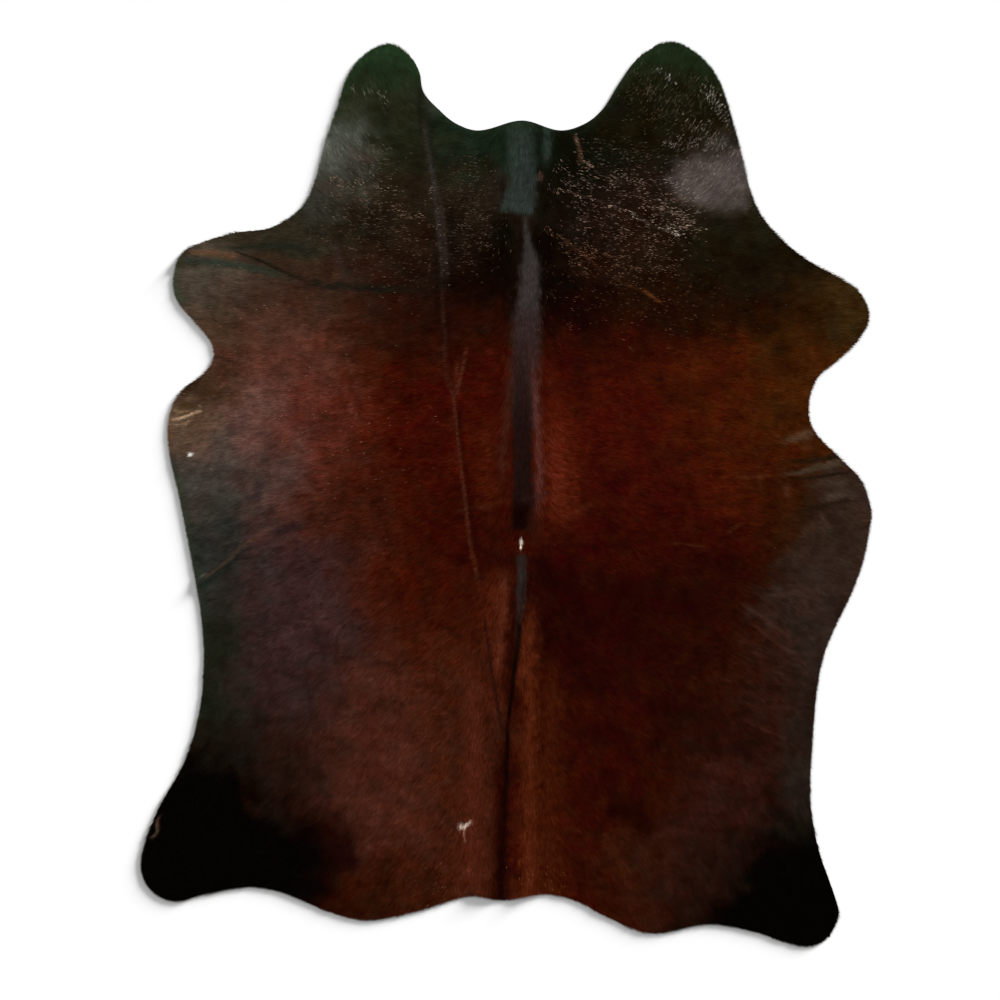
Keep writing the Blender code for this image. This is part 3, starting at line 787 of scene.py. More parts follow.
    ("rump, right, rosy foot", (60, 28, 14), 0.55, (14, 12), 30, (0.3, 0.3),
     [(600, 835), (618, 858), (628, 885)]),
    ("right of the furrow, dark spot", (24, 4, 1), 0.5, (14, 14), 30, (0.2, 0.2), [(565, 640), (585, 645)]),
    ("rump, left, dark curl", (38, 17, 10), 0.6, (6, 5), 14, (0.3, 0.2),
     [(368, 664), (382, 662), (395, 668), (398, 680)]),
    ("rump, left, dark spot", (34, 15, 8), 0.6, (5, 5), 14, (0.2, 0.2), [(400, 704), (406, 706)]),
    ("left thigh, dark purple", (24, 7, 8), 0.6, (20, 24), 44, (0.2, 0.2),
     [(318, 838), (340, 852), (352, 872)]),
    ("worn line, upper", (90, 66, 54), 0.4, (1.5, 2), 7, (0.2, 0.1),
     [(548, 189), (560, 190), (585, 197), (610, 205), (628, 212)]),
    ("worn line, bright end", (118, 92, 78), 0.3, (2, 2.5), 9, (0.3, 0.1),
     [(628, 212), (645, 222), (662, 229), (682, 236)]),
    ("worn line, short", (72, 44, 30), 0.55, (3, 3), 6, (0.2, 0.2),
     [(550, 230), (566, 241), (580, 252), (592, 262), (606, 275)]),
    ("worn line, orange", (104, 56, 24), 0.7, (4, 3), 6, (0.2, 0.1), [(640, 289), (650, 295), (661, 303)]),
    ("worn line, orange tail", (62, 36, 20), 0.5, (3, 3), 6, (0.3, 0.2),
     [(608, 276), (625, 284), (642, 291)]),
    ("worn line, upright", (120, 84, 62), 0.7, (2, 2.5), 3, (0.1, 0.3),
     [(574, 134), (577, 142), (580, 152), (580, 160), (586, 166)]),
    ("scar, left arm", (160, 120, 104), 0.8, (2, 2), 2.5, (0.1, 0.1), [(458, 822), (460, 828), (464, 829)]),
    ("scar, head", (226, 206, 190), 1.0, (2.5, 2.5), 2, (0, 0), [(460, 825), (463, 827), (466, 825)]),
    ("scar, right arm", (210, 186, 170), 0.9, (2, 1.5), 2.5, (0, 0.1),
     [(465, 827), (469, 823), (473, 820)]),
    ("scar, tail", (150, 106, 90), 0.8, (1.5, 1.5), 2, (0, 0.1), [(464, 829), (464, 836), (465, 842)]),
    ("scar, pink mark", (128, 62, 44), 0.6, (4, 3), 4, (0.1, 0.1), [(467, 868), (471, 870)]),
    ("left hind leg, bald spot", (18, 7, 2), 0.8, (6, 6), 6, (0.1, 0.1), [(152, 822), (155, 828)]),
    ("left hind leg, pale rim", (92, 70, 56), 0.8, (3, 3), 5, (0.1, 0.1),
     [(161, 816), (157, 820), (158, 828), (155, 836), (149, 838)]),
    ("left hind leg, brown edge", (34, 24, 16), 0.6, (5, 6), 14, (0.2, 0.2),
     [(148, 825), (142, 845), (140, 865)]),
    ("left hind leg, ochre edge", (40, 30, 20), 0.5, (4, 5), 14, (0.3, 0.3),
     [(185, 765), (168, 788), (155, 808)]),
]
PALE_HAIRS = [
    # name, share of the hairs, colour, half width, route
    ("worn line, upper", 0.6, (214, 178, 156), 8, [(548, 189), (560, 190), (585, 197), (628, 212)]),
    ("worn line, bright end", 0.9, (255, 236, 214), 8, [(628, 212), (645, 222), (662, 229), (684, 237)]),
    ("worn line, corner", 0.9, (255, 230, 206), 15, [(668, 226), (684, 234)]),
    ("worn line, short", 0.5, (180, 134, 106), 10, [(545, 229), (570, 243), (592, 262), (606, 275)]),
    ("worn line, upright", 0.6, (240, 196, 166), 5, [(574, 134), (577, 143), (580, 155), (584, 162)]),
    ("worn line, upright, foot", 0.5, (220, 180, 154), 12, [(584, 160), (596, 176), (604, 183)]),
    ("worn field, above the line", 0.45, (176, 146, 128), 60,
     [(575, 178), (610, 182), (650, 190), (680, 204)]),
    ("worn field, right end", 0.6, (206, 172, 150), 46, [(650, 200), (668, 214), (682, 228)]),
    ("worn field, below the line", 0.42, (160, 128, 110), 80, [(590, 215), (620, 232), (655, 246)]),
    ("worn field, foot", 0.4, (150, 112, 88), 60, [(575, 252), (615, 264), (660, 270)]),
    ("worn field, shoulder", 0.12, (120, 84, 62), 110, [(560, 290), (640, 305), (700, 305)]),
    ("neck, right, upper", 0.3, (128, 108, 94), 60, [(600, 152), (645, 160)]),
    ("right neck flap, upper specks", 0.6, (220, 214, 198), 14, [(660, 70), (674, 84)]),
    ("right neck flap, pale line", 0.5, (130, 120, 98), 10, [(668, 83), (690, 80), (716, 80)]),
    ("right neck flap, outer specks", 0.6, (240, 230, 210), 22, [(706, 92), (716, 106), (728, 122)]),
    ("right neck flap, middle specks", 0.5, (176, 160, 138), 40, [(684, 116), (705, 130), (722, 146)]),
    ("right neck flap, brown field", 0.5, (118, 104, 82), 76, [(650, 96), (690, 112)]),
    ("right neck flap, top of the sheen", 0.5, (196, 174, 164), 30, [(672, 142), (700, 146), (726, 152)]),
    ("right neck flap, sheen", 0.3, (150, 136, 130), 60, [(680, 168), (710, 175), (745, 185)]),
    ("right neck flap, foot of the sheen", 0.4, (190, 174, 168), 28, [(668, 182), (688, 190), (694, 206)]),
    ("left neck flap, upper specks", 0.6, (184, 178, 156), 14, [(356, 92), (378, 94), (386, 104)]),
    ("left neck flap, sheen", 0.35, (140, 132, 120), 64, [(322, 140), (350, 155), (378, 170)]),
    ("left neck flap, pale arc", 0.55, (184, 152, 128), 18,
     [(335, 182), (356, 186), (376, 188), (398, 192)]),
    ("left neck flap, lower arc", 0.55, (172, 136, 110), 20,
     [(336, 194), (366, 198), (390, 208), (414, 214), (430, 224)]),
    ("left of the neck", 0.3, (130, 106, 88), 90, [(350, 205), (390, 225), (425, 250)]),
    ("crease, specks", 0.4, (170, 158, 150), 9, [(432, 180), (440, 225), (445, 260), (447, 285)]),
    ("left shoulder", 0.15, (120, 96, 78), 120, [(345, 240), (400, 265)]),
    ("right of the crease", 0.4, (120, 102, 88), 70, [(468, 180), (474, 245)]),
    ("left side", 0.03, (150, 118, 100), 260, [(240, 340), (330, 430)]),
    ("worn curl", 0.6, (236, 206, 176), 12, [(170, 422), (186, 420), (200, 410)]),
    ("tail edge", 0.15, (150, 100, 62), 44, [(530, 872), (548, 884)]),
    ("rump, left edge", 0.15, (130, 92, 64), 54, [(440, 882), (410, 890)]),
]
SPECKS = [
    # white ones: across, down
    (456, 141), (531, 202), (553, 207), (607, 277), (606, 305), (661, 272), (560, 297), (785, 305),
    (803, 296), (708, 457), (774, 547), (826, 577), (645, 695), (636, 805), (402, 778), (518, 683),
    (274, 352), (347, 333), (374, 339), (407, 158), (385, 190), (423, 199), (270, 562), (800, 762),
    (698, 716), (646, 694), (220, 385), (412, 290), (427, 217), (300, 563),
]
COMBING = [
    # name, across, down, reach across, reach along, lean of the hair's way, in degrees to the right of the
    # way to the tail
    ("nape", 525, 155, 60, 120, 0),
    ("spine, front", 527, 265, 45, 160, 0),
    ("spine, middle", 527, 412, 45, 220, 0),
    ("spine, loin", 525, 545, 45, 120, 0),
    ("tail furrow", 508, 750, 70, 330, 0),
    ("neck, left", 425, 182, 130, 130, -88),
    ("left neck flap", 355, 125, 120, 150, -152),
    ("neck, right", 630, 190, 130, 130, 75),
    ("right neck flap", 703, 133, 130, 170, 150),
    ("left shoulder", 333, 265, 200, 130, -90),
    ("left foreleg", 202, 280, 130, 110, -97),
    ("right shoulder", 703, 265, 190, 130, 84),
    ("right foreleg", 822, 313, 130, 110, 96),
    ("saddle, left", 428, 420, 140, 260, -76),
    ("saddle, right", 613, 420, 140, 260, 76),
    ("left side", 292, 420, 190, 240, -80),
    ("right side", 745, 420, 190, 240, 80),
    ("left flank", 243, 560, 170, 200, -62),
    ("right flank", 794, 560, 170, 200, 64),
    ("left waist", 276, 700, 190, 170, -48),
    ("right waist", 752, 700, 180, 170, 48),
    ("back, left", 412, 597, 150, 170, -52),
    ("back, right", 621, 597, 150, 170, 54),
    ("rump, left", 383, 782, 150, 200, -38),
    ("rump, right", 637, 782, 150, 200, 40),
    ("left hind leg", 194, 848, 160, 140, -42),
    ("right hind leg", 810, 885, 120, 150, 24),
]
HAIR_WIDTH = 1.7 * MM
HAIR_LENGTH = 17 * MM
HAIR_OVERHANG = 3 * MM  # past the leather's edge
LEAST_OUTWARDS = 0.05  # hair that points outwards by less than this lies along the edge
WORN_LENGTH = 0.35  # a share of the hair's length, as the next one
SHORTEST = 0.15
SKIN_STEP = 3.6 * MM
HAIRS_IN_THE_LARGEST_PART = 198_000  # a hair is one triangle
COAT_GAIN = 1.32  # makes up for the shade between the hairs
COAT_GLOSS = 0.0018  # what the hair's gloss adds to its colour
STRAY_SEED, RISE_SEED, ROLL_SEED, LENGTH_SEED = range(1, 5)  # for what is drawn for each hair
WIDTH_SEED, SHADE_SEED, PALE_SEED, BRIGHT_SEED = range(5, 9)

FINE_MARK = 8 * MM  # marks narrower than this are worn: the hair is short there
FINE_STEP = 2 * MM
SPECK_SIZE = 2.2 * MM
SPECK_POINTS = 6  # the skin's points around each speck
SPECK_COLOUR = (206, 190, 168)
LINE_WANDER = 0.35  # how far the edge and the strength of a coat line wander
LINE_HIGHEST = 1.2
PATCH_SHARPNESS = 0.8
FURROW_SHARE = 0.35  # of a wrinkled area: painted shade in its furrows and painted highlight on its ridges
PALE_MEAN = 0.7
PALE_RANGE = (0.05, 2.5)
PALE_REACH = 1.5  # where a band of pale hairs ends, in its half widths
PALE_FALL = 2
NO_PALE_COLOUR = (128, 128, 128)  # what the colour of pale hairs goes over to where there are none

CLOUD_NOISE = (0.2, 2, 4)  # smoothness, ratio of one size to the next, number of sizes
DRIFT_ACROSS = (45 * MM, 260 * MM, 1)  # strength, size and seed of a cloudy pattern, as the next ones
DRIFT_ALONG = (45 * MM, 260 * MM, 2)
MOTTLE = (0.17, 70 * MM, 3)
TINT = (4, 60 * MM, 4)
TINT_COLOUR = (0.4, 1, 1)
UNEVEN = (0.5, 20 * MM, 5)
PATCHY = (1.0, 30 * MM, 6)
STREAK_WIDTH = 7 * MM
STREAK_LENGTH = 55 * MM
STREAK_STEPS = (-0.5, -0.35, -0.2, -0.05, 0.1, 0.25, 0.4)
STREAK_GAIN = 2.0
STREAK_DRIFT = 30 * MM  # what a streak does to the patches, the shade, the coat lines and the pale hairs
STREAK_SHADE = 0.05
STREAK_UNEVEN = 0.6
STREAK_PATCHY = 1.6
COAT_STREAKS_SEED = 7
PALE_STREAKS_SEED = 9

HAIR_SETTINGS = {
    "Wander": math.radians(16),
    "Wander size": 45 * MM,
    "Stray": math.radians(11),
    "Lowest rise": math.radians(3),
    "Highest rise": math.radians(11),
    "Roll": math.radians(24),
    "Shortest hair": 0.75,
    "Longest hair": 1.15,
    "Slimmest hair": 0.75,
    "Widest hair": 1.3,
    "Darkest hair": 0.71,
    "Palest hair": 1.33,
    "Lock size": 13 * MM,
    "Locks": 0.13,
    # a painted glint: grey added to the paler hairs, as a share of the coat's red
    "Painted glint": 0.18,
    "Pale hair length": 0.42,
    "Pale hair width": 0.5,
    "Pale hair lift": 1.3 * MM,
    "Rarity of bright hairs": 5.0,
}


def clouds(places, strength, size, seed):
    """An irregular pattern of about that size and finer, around 0."""
    points = [Vector((x, y, SEED_STEP * seed)) for x, y in places / size]
    return strength * np.array([noise.fractal(point, *CLOUD_NOISE) for point in points])


def soft_shares(places, rows, sharpness=1.0):
    """How much each row of a table of soft patches has to say at each place. The shares add up to 1."""
    closeness = -sharpness * np.column_stack([reaches_away(places, row) for row in rows])
    shares = np.exp(closeness - closeness.max(1)[:, None])
    return shares / shares.sum(1)[:, None]


def lie_at(places):
    """The way in which the hair lies, seen from above."""
    lean = np.radians([degrees for *_, degrees in COMBING])
    return unit(soft_shares(places, COMBING) @ np.column_stack([np.sin(lean), -np.cos(lean)]))


def climb_at(places, lie):
    """How steeply each hair must rise to lie on the leather ahead of it."""
    here = lift_at(places)
    middle, tip = (lift_at(places + lie * HAIR_LENGTH * share) for share in (0.5, 1))
    return np.maximum((middle - here) * 2, tip - here) / HAIR_LENGTH


def streaks(places, lie, seed):
    """An irregular pattern drawn out along the hair, around 0."""
    total = np.zeros(len(places))
    for share in STREAK_STEPS:
        moved = (places + lie * STREAK_LENGTH * share) / STREAK_WIDTH
        total += [noise.noise(Vector((x, y, SEED_STEP * seed))) for x, y in moved]
    return total * STREAK_GAIN / len(STREAK_STEPS)


def line_shares(places, line, uneven):
    """The places that a coat line colours, and how strongly."""
    _, _, strength, half_widths, soft_edge, fades, points = line
    first, last = np.array(half_widths) * MM
    soft = soft_edge * MM
    near, along, aside = near_line(places, route(points), max(first, last) + soft)
    wander = LINE_WANDER * uneven[near]
    within = first + (last - first) * along - np.abs(aside) + soft * (0.5 + wander)
    share = strength * smooth_ramp(within / soft) * np.clip(1 + wander, 0, LINE_HIGHEST)
    return near, np.clip(faded(share, along, fades), 0, 1)


def coat_at(places):
    """The coat's colour at each place."""
    lie = lie_at(places)
    streaky = streaks(places, lie, COAT_STREAKS_SEED)
    drift = np.column_stack([clouds(places, *pattern) for pattern in (DRIFT_ACROSS, DRIFT_ALONG)])
    drift += lie * streaky[:, None] * STREAK_DRIFT
    patch_colours = [painted for *_, painted in COAT_PATCHES]
    colour = soft_shares(places + drift, COAT_PATCHES, PATCH_SHARPNESS) @ patch_colours
    depth, furrow = wrinkles_at(places)
    # painted shade in the wrinkles' furrows and painted highlight on their ridges, with random mottle and
    # streaks
    shade = 1 + clouds(places, *MOTTLE) + STREAK_SHADE * streaky - depth * (furrow - FURROW_SHARE)
    colour *= shade[:, None]
    colour += clouds(places, *TINT)[:, None] * TINT_COLOUR
    uneven = clouds(places, *UNEVEN) + STREAK_UNEVEN * streaky
    for line in COAT_LINES:
        _, painted, *_ = line
        near, share = line_shares(places, line, uneven)
        colour[near] += (painted - colour[near]) * share[:, None]
    light = linear(np.maximum(colour, 0))
    light[:, :3] = np.maximum(light[:, :3] * COAT_GAIN - COAT_GLOSS, 0)
    return light


def near_specks(places, reach):
    """Which places are within reach of a white speck."""
    return np.any([np.hypot(*(places - speck).T) < reach for speck in on_the_hide(SPECKS)], axis=0)


def pale_hairs_at(places):
    """The colour of the pale hairs at each place, and their share as alpha."""
    pale = np.tile(linear(NO_PALE_COLOUR), (len(places), 1))
    pale[:, 3] = 0
    streaky = streaks(places, lie_at(places), PALE_STREAKS_SEED)
    patchy = np.clip(PALE_MEAN + clouds(places, *PATCHY) + STREAK_PATCHY * streaky, *PALE_RANGE)
    for _, share, painted, half_width, points in PALE_HAIRS:
        half = half_width * MM
        near, _, aside = near_line(places, route(points), half * PALE_REACH)
        here = share * np.exp(-PALE_FALL * (aside / half) ** 2) * patchy[near]
        more = here > pale[near, 3]
        pale[near[more], :3] = linear(painted)[:3] * COAT_GAIN
        pale[near[more], 3] = here[more]
    pale[near_specks(places, SPECK_SIZE / 2)] = linear(SPECK_COLOUR)
    return pale


def fine_lines():
    """The coat lines that are so narrow that they show only in short hair, with how far each reaches."""
    fine = []
    for line in COAT_LINES:
        _, _, _, half_widths, soft_edge, _, _ = line
        reach = max(half_widths) * MM + soft_edge * MM / 2
        if reach < FINE_MARK:
            fine.append((line, reach))
    return fine


def wear_at(places):
    """How worn the hair is at each place, from 0 to 1. Worn marks that meet widen each other."""
    wear = np.zeros(len(places))
    for line, _ in fine_lines():
        near, share = line_shares(places, line, wear)
        wear[near] = np.maximum(wear[near], share)
    wear[near_specks(places, SPECK_SIZE)] = 1
    return wear


def length_at(places, lie, outline):
    """The hair's length at each place as a share of the full one, less where it would hang over the edge."""
    closed = np.vstack([outline, outline[:1]])
    near, along, aside = near_line(places, closed, HAIR_LENGTH)
    ahead = unit(np.roll(outline, -1, axis=0) - outline)
    edge = ahead[np.minimum((along * len(outline)).astype(int), len(outline) - 1)]
    outwards = np.maximum(cross(lie[near], edge), LEAST_OUTWARDS)
    room = np.maximum(aside, 0) + HAIR_OVERHANG
    length = 1 - (1 - WORN_LENGTH) * wear_at(places)
    length[near] = np.minimum(length[near], room / (outwards * HAIR_LENGTH))
    return np.clip(length, SHORTEST, 1)


def fine_places(outline):
    """Places close together on the fine marks."""
    specks = on_the_hide(SPECKS)
    turns = np.linspace(0, 2 * math.pi, SPECK_POINTS, endpoint=False)
    groups = [specks] + [specks + SPECK_SIZE * np.array((math.cos(turn), math.sin(turn))) for turn in turns]
    for (*_, points), reach in fine_lines():
        middle = route(points, FINE_STEP)
        left = leftwards(unit(np.gradient(middle, axis=0)))
        groups += [middle + left * aside for aside in np.arange(-reach, reach + FINE_STEP, FINE_STEP)]
    places = np.vstack(groups)
    return places[inside(places, drawn_in(outline, FINE_STEP))]


def store(mesh, name, kind, values):
    """Gives the mesh's points an attribute."""
    field_name = {"FLOAT": "value", "FLOAT_VECTOR": "vector", "FLOAT_COLOR": "color"}[kind]
    attribute = mesh.attributes.new(name, kind, "POINT")
    attribute.data.foreach_set(field_name, np.asarray(values, np.float32).ravel())


def hair_material():
    """Glossy dark hair, each blade streaked along its length, with painted shade darkening it towards its
    root.
    """
    material, tree = new_material("cowhide_hair")
    coat = add(tree, "ShaderNodeAttribute", attribute_name="coat").outputs["Color"]
    blade = add(tree, "ShaderNodeUVMap", uv_map="blade").outputs[0]
    place = add(tree, "ShaderNodeTexCoord").outputs["Object"]
    drawn_out = add(tree, "ShaderNodeVectorMath", {0: blade, 1: (7.0, 0.8, 1.0)}, operation="MULTIPLY")
    apart = add(tree, "ShaderNodeVectorMath", {0: place, 1: (90.0, 90.0, 90.0), 2: drawn_out.outputs[0]},
                operation="MULTIPLY_ADD")
    noisy = add(tree, "ShaderNodeTexNoise", {"Vector": apart.outputs[0], "Scale": 1.0, "Detail": 2.0})
    strands = noisy.outputs[0]
    up_the_hair = add(tree, "ShaderNodeSeparateXYZ", {0: blade}).outputs["Y"]
    # painted shade: each blade is darker towards its root
    by_height = ranged(tree, up_the_hair, 0, 1, 0.7, 1.12)
    by_strand = ranged(tree, strands, 0.3, 0.7, 0.78, 1.2)
    shade = add(tree, "ShaderNodeMath", {0: by_height, 1: by_strand}, operation="MULTIPLY")
    add_shader(tree, {
        "Base Color": scaled(tree, coat, shade.outputs[0]),
        "Roughness": ranged(tree, strands, 0.3, 0.7, 0.42, 0.6),
        "Specular IOR Level": 0.02, "Specular Tint": (1, 0.75, 0.45, 1),
    })
    return material


def hair_blade():
    """One hair, or a few that cling together: a slim triangle from its root to its tip."""
    mesh = bpy.data.meshes.new("hair blade")
    mesh.from_pydata([(-HAIR_WIDTH / 2, 0, 0), (HAIR_WIDTH / 2, 0, 0), (0, HAIR_LENGTH, 0)], [], [(0, 1, 2)])
    mesh.uv_layers.new(name="blade").uv.foreach_set("vector", (0, 0, 1, 0, 0.5, 1))
    return bpy.data.objects.new("hair blade", mesh)


def hair_tree(settings):
    """Geometry Nodes that grow the coat on a skin, which carries lie, coat, pale_hairs and length."""
    tree = bpy.data.node_groups.new("hair on a hide", "GeometryNodeTree")
    kinds = {bpy.types.Object: "Object", bpy.types.Material: "Material", int: "Int", float: "Float"}
    tree.interface.new_socket("Skin", in_out="INPUT", socket_type="NodeSocketGeometry")
    for name, value in settings.items():
        kind = "NodeSocket" + kinds[type(value)]
        tree.interface.new_socket(name, in_out="INPUT", socket_type=kind)
    tree.interface.new_socket("Coat", in_out="OUTPUT", socket_type="NodeSocketGeometry")
    given = add(tree, "NodeGroupInput").outputs
    place = add(tree, "GeometryNodeInputPosition").outputs[0]

    def stored(name, kind):
        return add(tree, "GeometryNodeInputNamedAttribute", {"Name": name}, data_type=kind).outputs[0]

    def number(operation, first, second):
        return add(tree, "ShaderNodeMath", {0: first, 1: second}, operation=operation).outputs[0]

    def vector(operation, first, second):
        return add(tree, "ShaderNodeVectorMath", {0: first, 1: second}, operation=operation).outputs[0]

    def between(low, high, seed):
        """A random number for each hair."""
        return add(tree, "FunctionNodeRandomValue", {2: low, 3: high, 8: seed}).outputs[1]

    def either_way(value, seed):
        """A random number from minus the value to the value."""
        return between(number("MULTIPLY", value, -1.0), value, seed)

    def around_none(size, strength):
        """A soft pattern of about that size, from minus the strength to the strength."""
        scale = number("DIVIDE", 1.0, size)
        pattern = add(tree, "ShaderNodeTexNoise", {"Vector": place, "Scale": scale, "Detail": 2.0})
        return number("MULTIPLY", ranged(tree, pattern.outputs[0], 0.25, 0.75, -1, 1), strength)

    points = add(tree, "GeometryNodeDistributePointsOnFaces",
                 {"Mesh": given["Skin"], "Density": given["Hairs per square metre"], "Seed": given["Seed"]})
    upright = points.outputs["Normal"]
    pale = stored("pale_hairs", "FLOAT_COLOR")
    pale_share = add(tree, "FunctionNodeSeparateColor", {0: pale}).outputs["Alpha"]
    is_pale = number("LESS_THAN", between(0.0, 1.0, PALE_SEED), pale_share)

    def if_pale(value):
        """The value for a pale hair, and 1 for the others."""
        return number("ADD", number("MULTIPLY", is_pale, number("SUBTRACT", value, 1.0)), 1.0)

    lifted = scaled(tree, upright, number("MULTIPLY", is_pale, given["Pale hair lift"]))
    roots = add(tree, "GeometryNodeSetPosition", {"Geometry": points.outputs[0], "Offset": lifted})
    wander = around_none(given["Wander size"], given["Wander"])
    turned = number("ADD", wander, either_way(given["Stray"], STRAY_SEED))
    lie = add(tree, "ShaderNodeVectorRotate",
              {"Vector": stored("lie", "FLOAT_VECTOR"), "Axis": upright, "Angle": turned})
    level = add(tree, "FunctionNodeAxesToRotation", {0: lie.outputs[0], 1: upright},
                primary_axis="Y", secondary_axis="Z")
    rise = between(given["Lowest rise"], given["Highest rise"], RISE_SEED)
    tilt = add(tree, "ShaderNodeCombineXYZ", {"X": rise, "Y": either_way(given["Roll"], ROLL_SEED)})
    tilted = add(tree, "FunctionNodeEulerToRotation", {0: tilt.outputs[0]})
    rotation = add(tree, "FunctionNodeRotateRotation", {0: level.outputs[0], 1: tilted.outputs[0]},
                   rotation_space="LOCAL")
    length = between(given["Shortest hair"], given["Longest hair"], LENGTH_SEED)
    length = number("MULTIPLY", stored("length", "FLOAT"), length)
    length = number("MULTIPLY", length, if_pale(given["Pale hair length"]))
    width = between(given["Slimmest hair"], given["Widest hair"], WIDTH_SEED)
    width = number("MULTIPLY", width, if_pale(given["Pale hair width"]))
    size = add(tree, "ShaderNodeCombineXYZ", {"X": width, "Y": length, "Z": 1.0})
    hair = add(tree, "GeometryNodeObjectInfo", {"Object": given["Hair"]})
    hairs = add(tree, "GeometryNodeInstanceOnPoints",
                {"Points": roots.outputs[0], "Instance": hair.outputs["Geometry"],
                 "Rotation": rotation.outputs[0], "Scale": size.outputs[0]})

    coat = stored("coat", "FLOAT_COLOR")
    locks = number("ADD", around_none(given["Lock size"], given["Locks"]), 1.0)
    shade = number("MULTIPLY", locks, between(given["Darkest hair"], given["Palest hair"], SHADE_SEED))
    red = add(tree, "FunctionNodeSeparateColor", {0: coat}).outputs["Red"]
    # painted glint: paler hairs gain grey and darker ones lose it, in step with the coat's red
    painted_glint = number("MULTIPLY", number("SUBTRACT", shade, 1.0), number("MULTIPLY", red, given["Painted glint"]))
    glinted_coat = vector("MAXIMUM", vector("ADD", scaled(tree, coat, shade), painted_glint), (0, 0, 0))
    bright = number("POWER", between(0.0, 1.0, BRIGHT_SEED), given["Rarity of bright hairs"])
    colour = vector("ADD", glinted_coat, scaled(tree, pale, number("MULTIPLY", is_pale, bright)))
    painted = add(tree, "GeometryNodeStoreNamedAttribute",
                  {"Geometry": hairs.outputs[0], "Name": "coat", "Value": colour},
                  data_type="FLOAT_COLOR", domain="INSTANCE")
    whole = add(tree, "GeometryNodeRealizeInstances", {"Geometry": painted.outputs[0]})
    finished = add(tree, "GeometryNodeSetMaterial",
                   {"Geometry": whole.outputs[0], "Material": given["Material"]})
    add(tree, "NodeGroupOutput", {0: finished.outputs[0]})
    return tree


def skin_part(points, triangles, attributes):
    """A part of the skin as an object, with only the points that its triangles use."""
    used, places = np.unique(triangles, return_inverse=True)
    mesh = bpy.data.meshes.new("skin")
    mesh.from_pydata(points[used].tolist(), [], places.reshape(triangles.shape).tolist())
    for name, kind, values in attributes:
        store(mesh, name, kind, values[used])
    return add_object("skin", mesh)


def grow_coat(name, skin, tree, settings):
    """The coat of one part of the skin, as a plain mesh."""
    modifier = skin.modifiers.new("coat", "NODES")
    modifier.node_group = tree
    for item in tree.interface.items_tree:
        if item.name in settings:
            modifier[item.identifier] = settings[item.name]
    grown = skin.evaluated_get(bpy.context.evaluated_depsgraph_get())
    mesh = bpy.data.meshes.new_from_object(grown)
    skin.modifiers.remove(modifier)
    bpy.data.objects.remove(skin)
    mesh.name = name
    for spare in ("lie", "pale_hairs", "length"):
        if spare in mesh.attributes:
            mesh.attributes.remove(mesh.attributes[spare])
    places = np.empty(len(mesh.vertices) * 3, np.float32)
    mesh.vertices.foreach_get("co", places)
    corners = np.empty(len(mesh.loops), np.int32)
    mesh.loops.foreach_get("vertex_index", corners)
    add_top_map(mesh, places.reshape(-1, 3)[corners, :2])
    return add_object(name, mesh)


def grow_coats():
    """The four parts of the coat."""
    outline = drawn_in(hide_outline, 2 * EDGE_INSET)
    places = np.vstack([field(outline, SKIN_STEP)[0], fine_places(outline)])
    flat, triangles = flat_mesh(outline, places)
    points = np.column_stack([flat, lift_at(flat) + LEATHER_THICKNESS])
    lie = lie_at(flat)
    length = length_at(flat, lie, hide_outline)
    shown = flat + lie * (length * HAIR_LENGTH / 2)[:, None]  # the middle of each hair
    attributes = [
        ("lie", "FLOAT_VECTOR", np.column_stack([lie, climb_at(flat, lie)])),
        ("coat", "FLOAT_COLOR", coat_at(shown)),
        ("pale_hairs", "FLOAT_COLOR", pale_hairs_at(flat)),
        ("length", "FLOAT", length),
    ]
    a, b, c = (flat[triangles[:, corner]] for corner in range(3))
    middle = (a + b + c) / 3
    area = np.abs(cross(b - a, c - a)) / 2
    right, fore = middle.T > 0
    parts = {
        "coat_left_fore": ~right & fore,
        "coat_right_fore": right & fore,
        "coat_left_hind": ~right & ~fore,
        "coat_right_hind": right & ~fore,
    }
    largest = max(area[part].sum() for part in parts.values())
    settings = HAIR_SETTINGS | {
        "Hair": hair_blade(),
        "Material": hair_material(),
        "Hairs per square metre": float(HAIRS_IN_THE_LARGEST_PART / largest),
        "Seed": 0,
    }
    tree = hair_tree(settings)
    coats = []
    for seed, (name, part) in enumerate(parts.items()):
        skin = skin_part(points, triangles[part], attributes)
        coats.append(grow_coat(name, skin, tree, settings | {"Seed": seed}))
    bpy.data.objects.remove(settings["Hair"])
    return coats


coats = grow_coats()
for coat in coats:
    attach(coat, "root")

leather_points = np.array([vert.co.xy for vert in leather.data.vertices])
store(leather.data, "coat", "FLOAT_COLOR", coat_at(leather_points))


# The floor. Plain and pale, and lit so evenly that it shows almost white.

FLOOR_SIZE = 9.0
FLOOR_DROP = 0.3 * MM


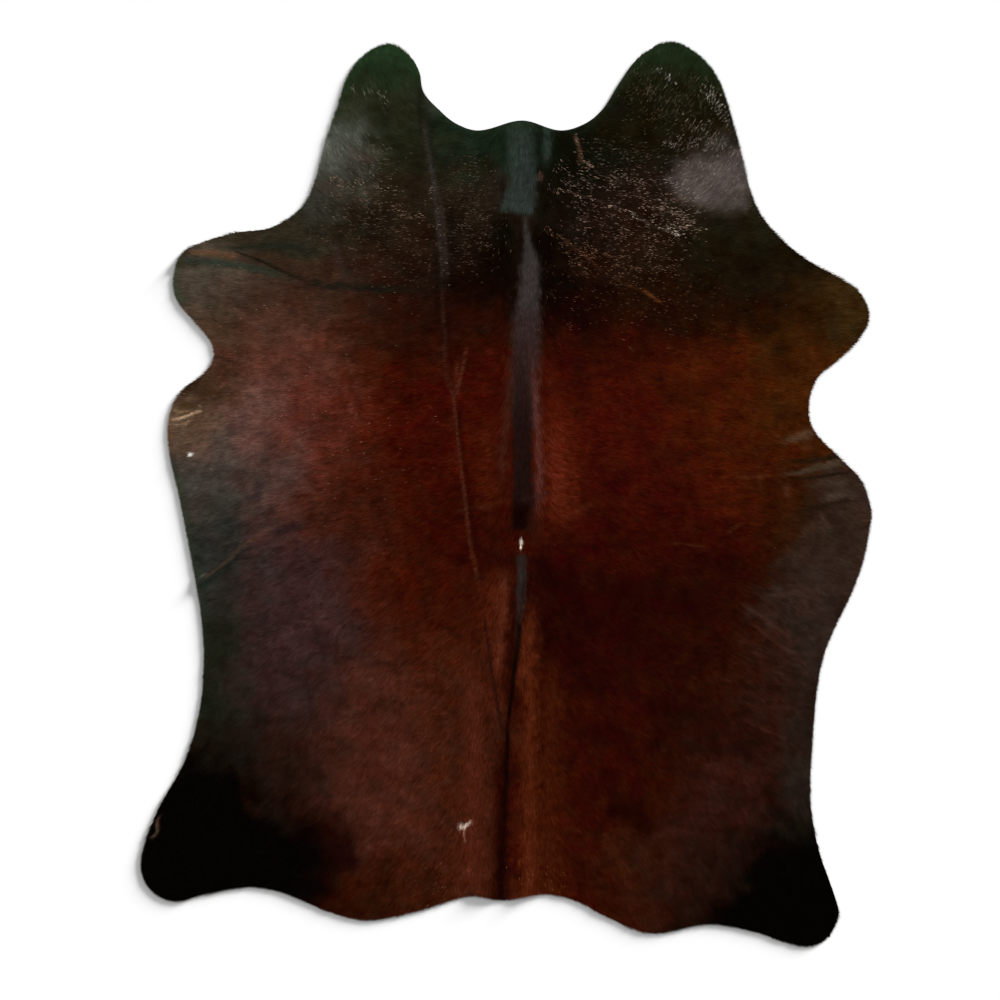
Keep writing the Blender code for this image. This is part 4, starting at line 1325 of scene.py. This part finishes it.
def floor_material():
    """Matt pale paint."""
    material, tree = new_material("floor")
    add_shader(tree, {"Base Color": (0.33, 0.33, 0.33, 1), "Roughness": 0.9, "Specular IOR Level": 0.1})
    return material


floor_mesh = bpy.data.meshes.new("floor")
half = FLOOR_SIZE / 2
corners = [(-half, -half), (half, -half), (half, half), (-half, half)]
floor_mesh.from_pydata([(x, y, -FLOOR_DROP) for x, y in corners], [], [(0, 1, 2, 3)])
floor_mesh.materials.append(floor_material())
floor = add_object("floor", floor_mesh)


# The light. A white room and one large soft lamp on the upper left, which brings out the folds. A second, low
# lamp on the upper right lights the floor alone, and gives the hide its soft shadow there.

ROOM_LIGHT = 0.7


def add_lamp(name, strength, spread, rise, side):
    """A far lamp that comes from its rise over the floor and its side, counter-clockwise from the right."""
    lamp_data = bpy.data.lights.new(name, "SUN")
    lamp_data.energy = strength
    lamp_data.angle = math.radians(spread)
    lamp = add_object(name, lamp_data)
    lamp.rotation_euler = (0, math.radians(90 - rise), math.radians(side))
    return lamp


world = bpy.data.worlds.new("room")
world.use_nodes = True
room_light = world.node_tree.nodes["Background"].inputs
room_light["Color"].default_value = (1, 1, 1, 1)
room_light["Strength"].default_value = ROOM_LIGHT
bpy.context.scene.world = world

add_lamp("fold lamp", strength=2.0, spread=35, rise=48, side=150)
floor_lamp = add_lamp("floor lamp", strength=34, spread=16, rise=10, side=42)
floor_alone = bpy.data.collections.new("floor alone")
floor_alone.objects.link(floor)
floor_lamp.light_linking.receiver_collection = floor_alone


# The camera. Straight above the hide, with the neck at the top.

PHOTO_WIDTH = 1000  # pixels, and as many from top to bottom
LENS = 90  # millimetres, as the next one
SENSOR = 36

camera_data = bpy.data.cameras.new("camera")
camera_data.lens = LENS
camera_data.sensor_width = SENSOR
camera = add_object("camera", camera_data)
camera_height = PHOTO_WIDTH * PIXEL * LENS / SENSOR
camera.location = (*on_the_hide((PHOTO_WIDTH / 2, PHOTO_WIDTH / 2)), camera_height)
bpy.context.scene.camera = camera
bpy.context.scene.view_settings.view_transform = "Standard"
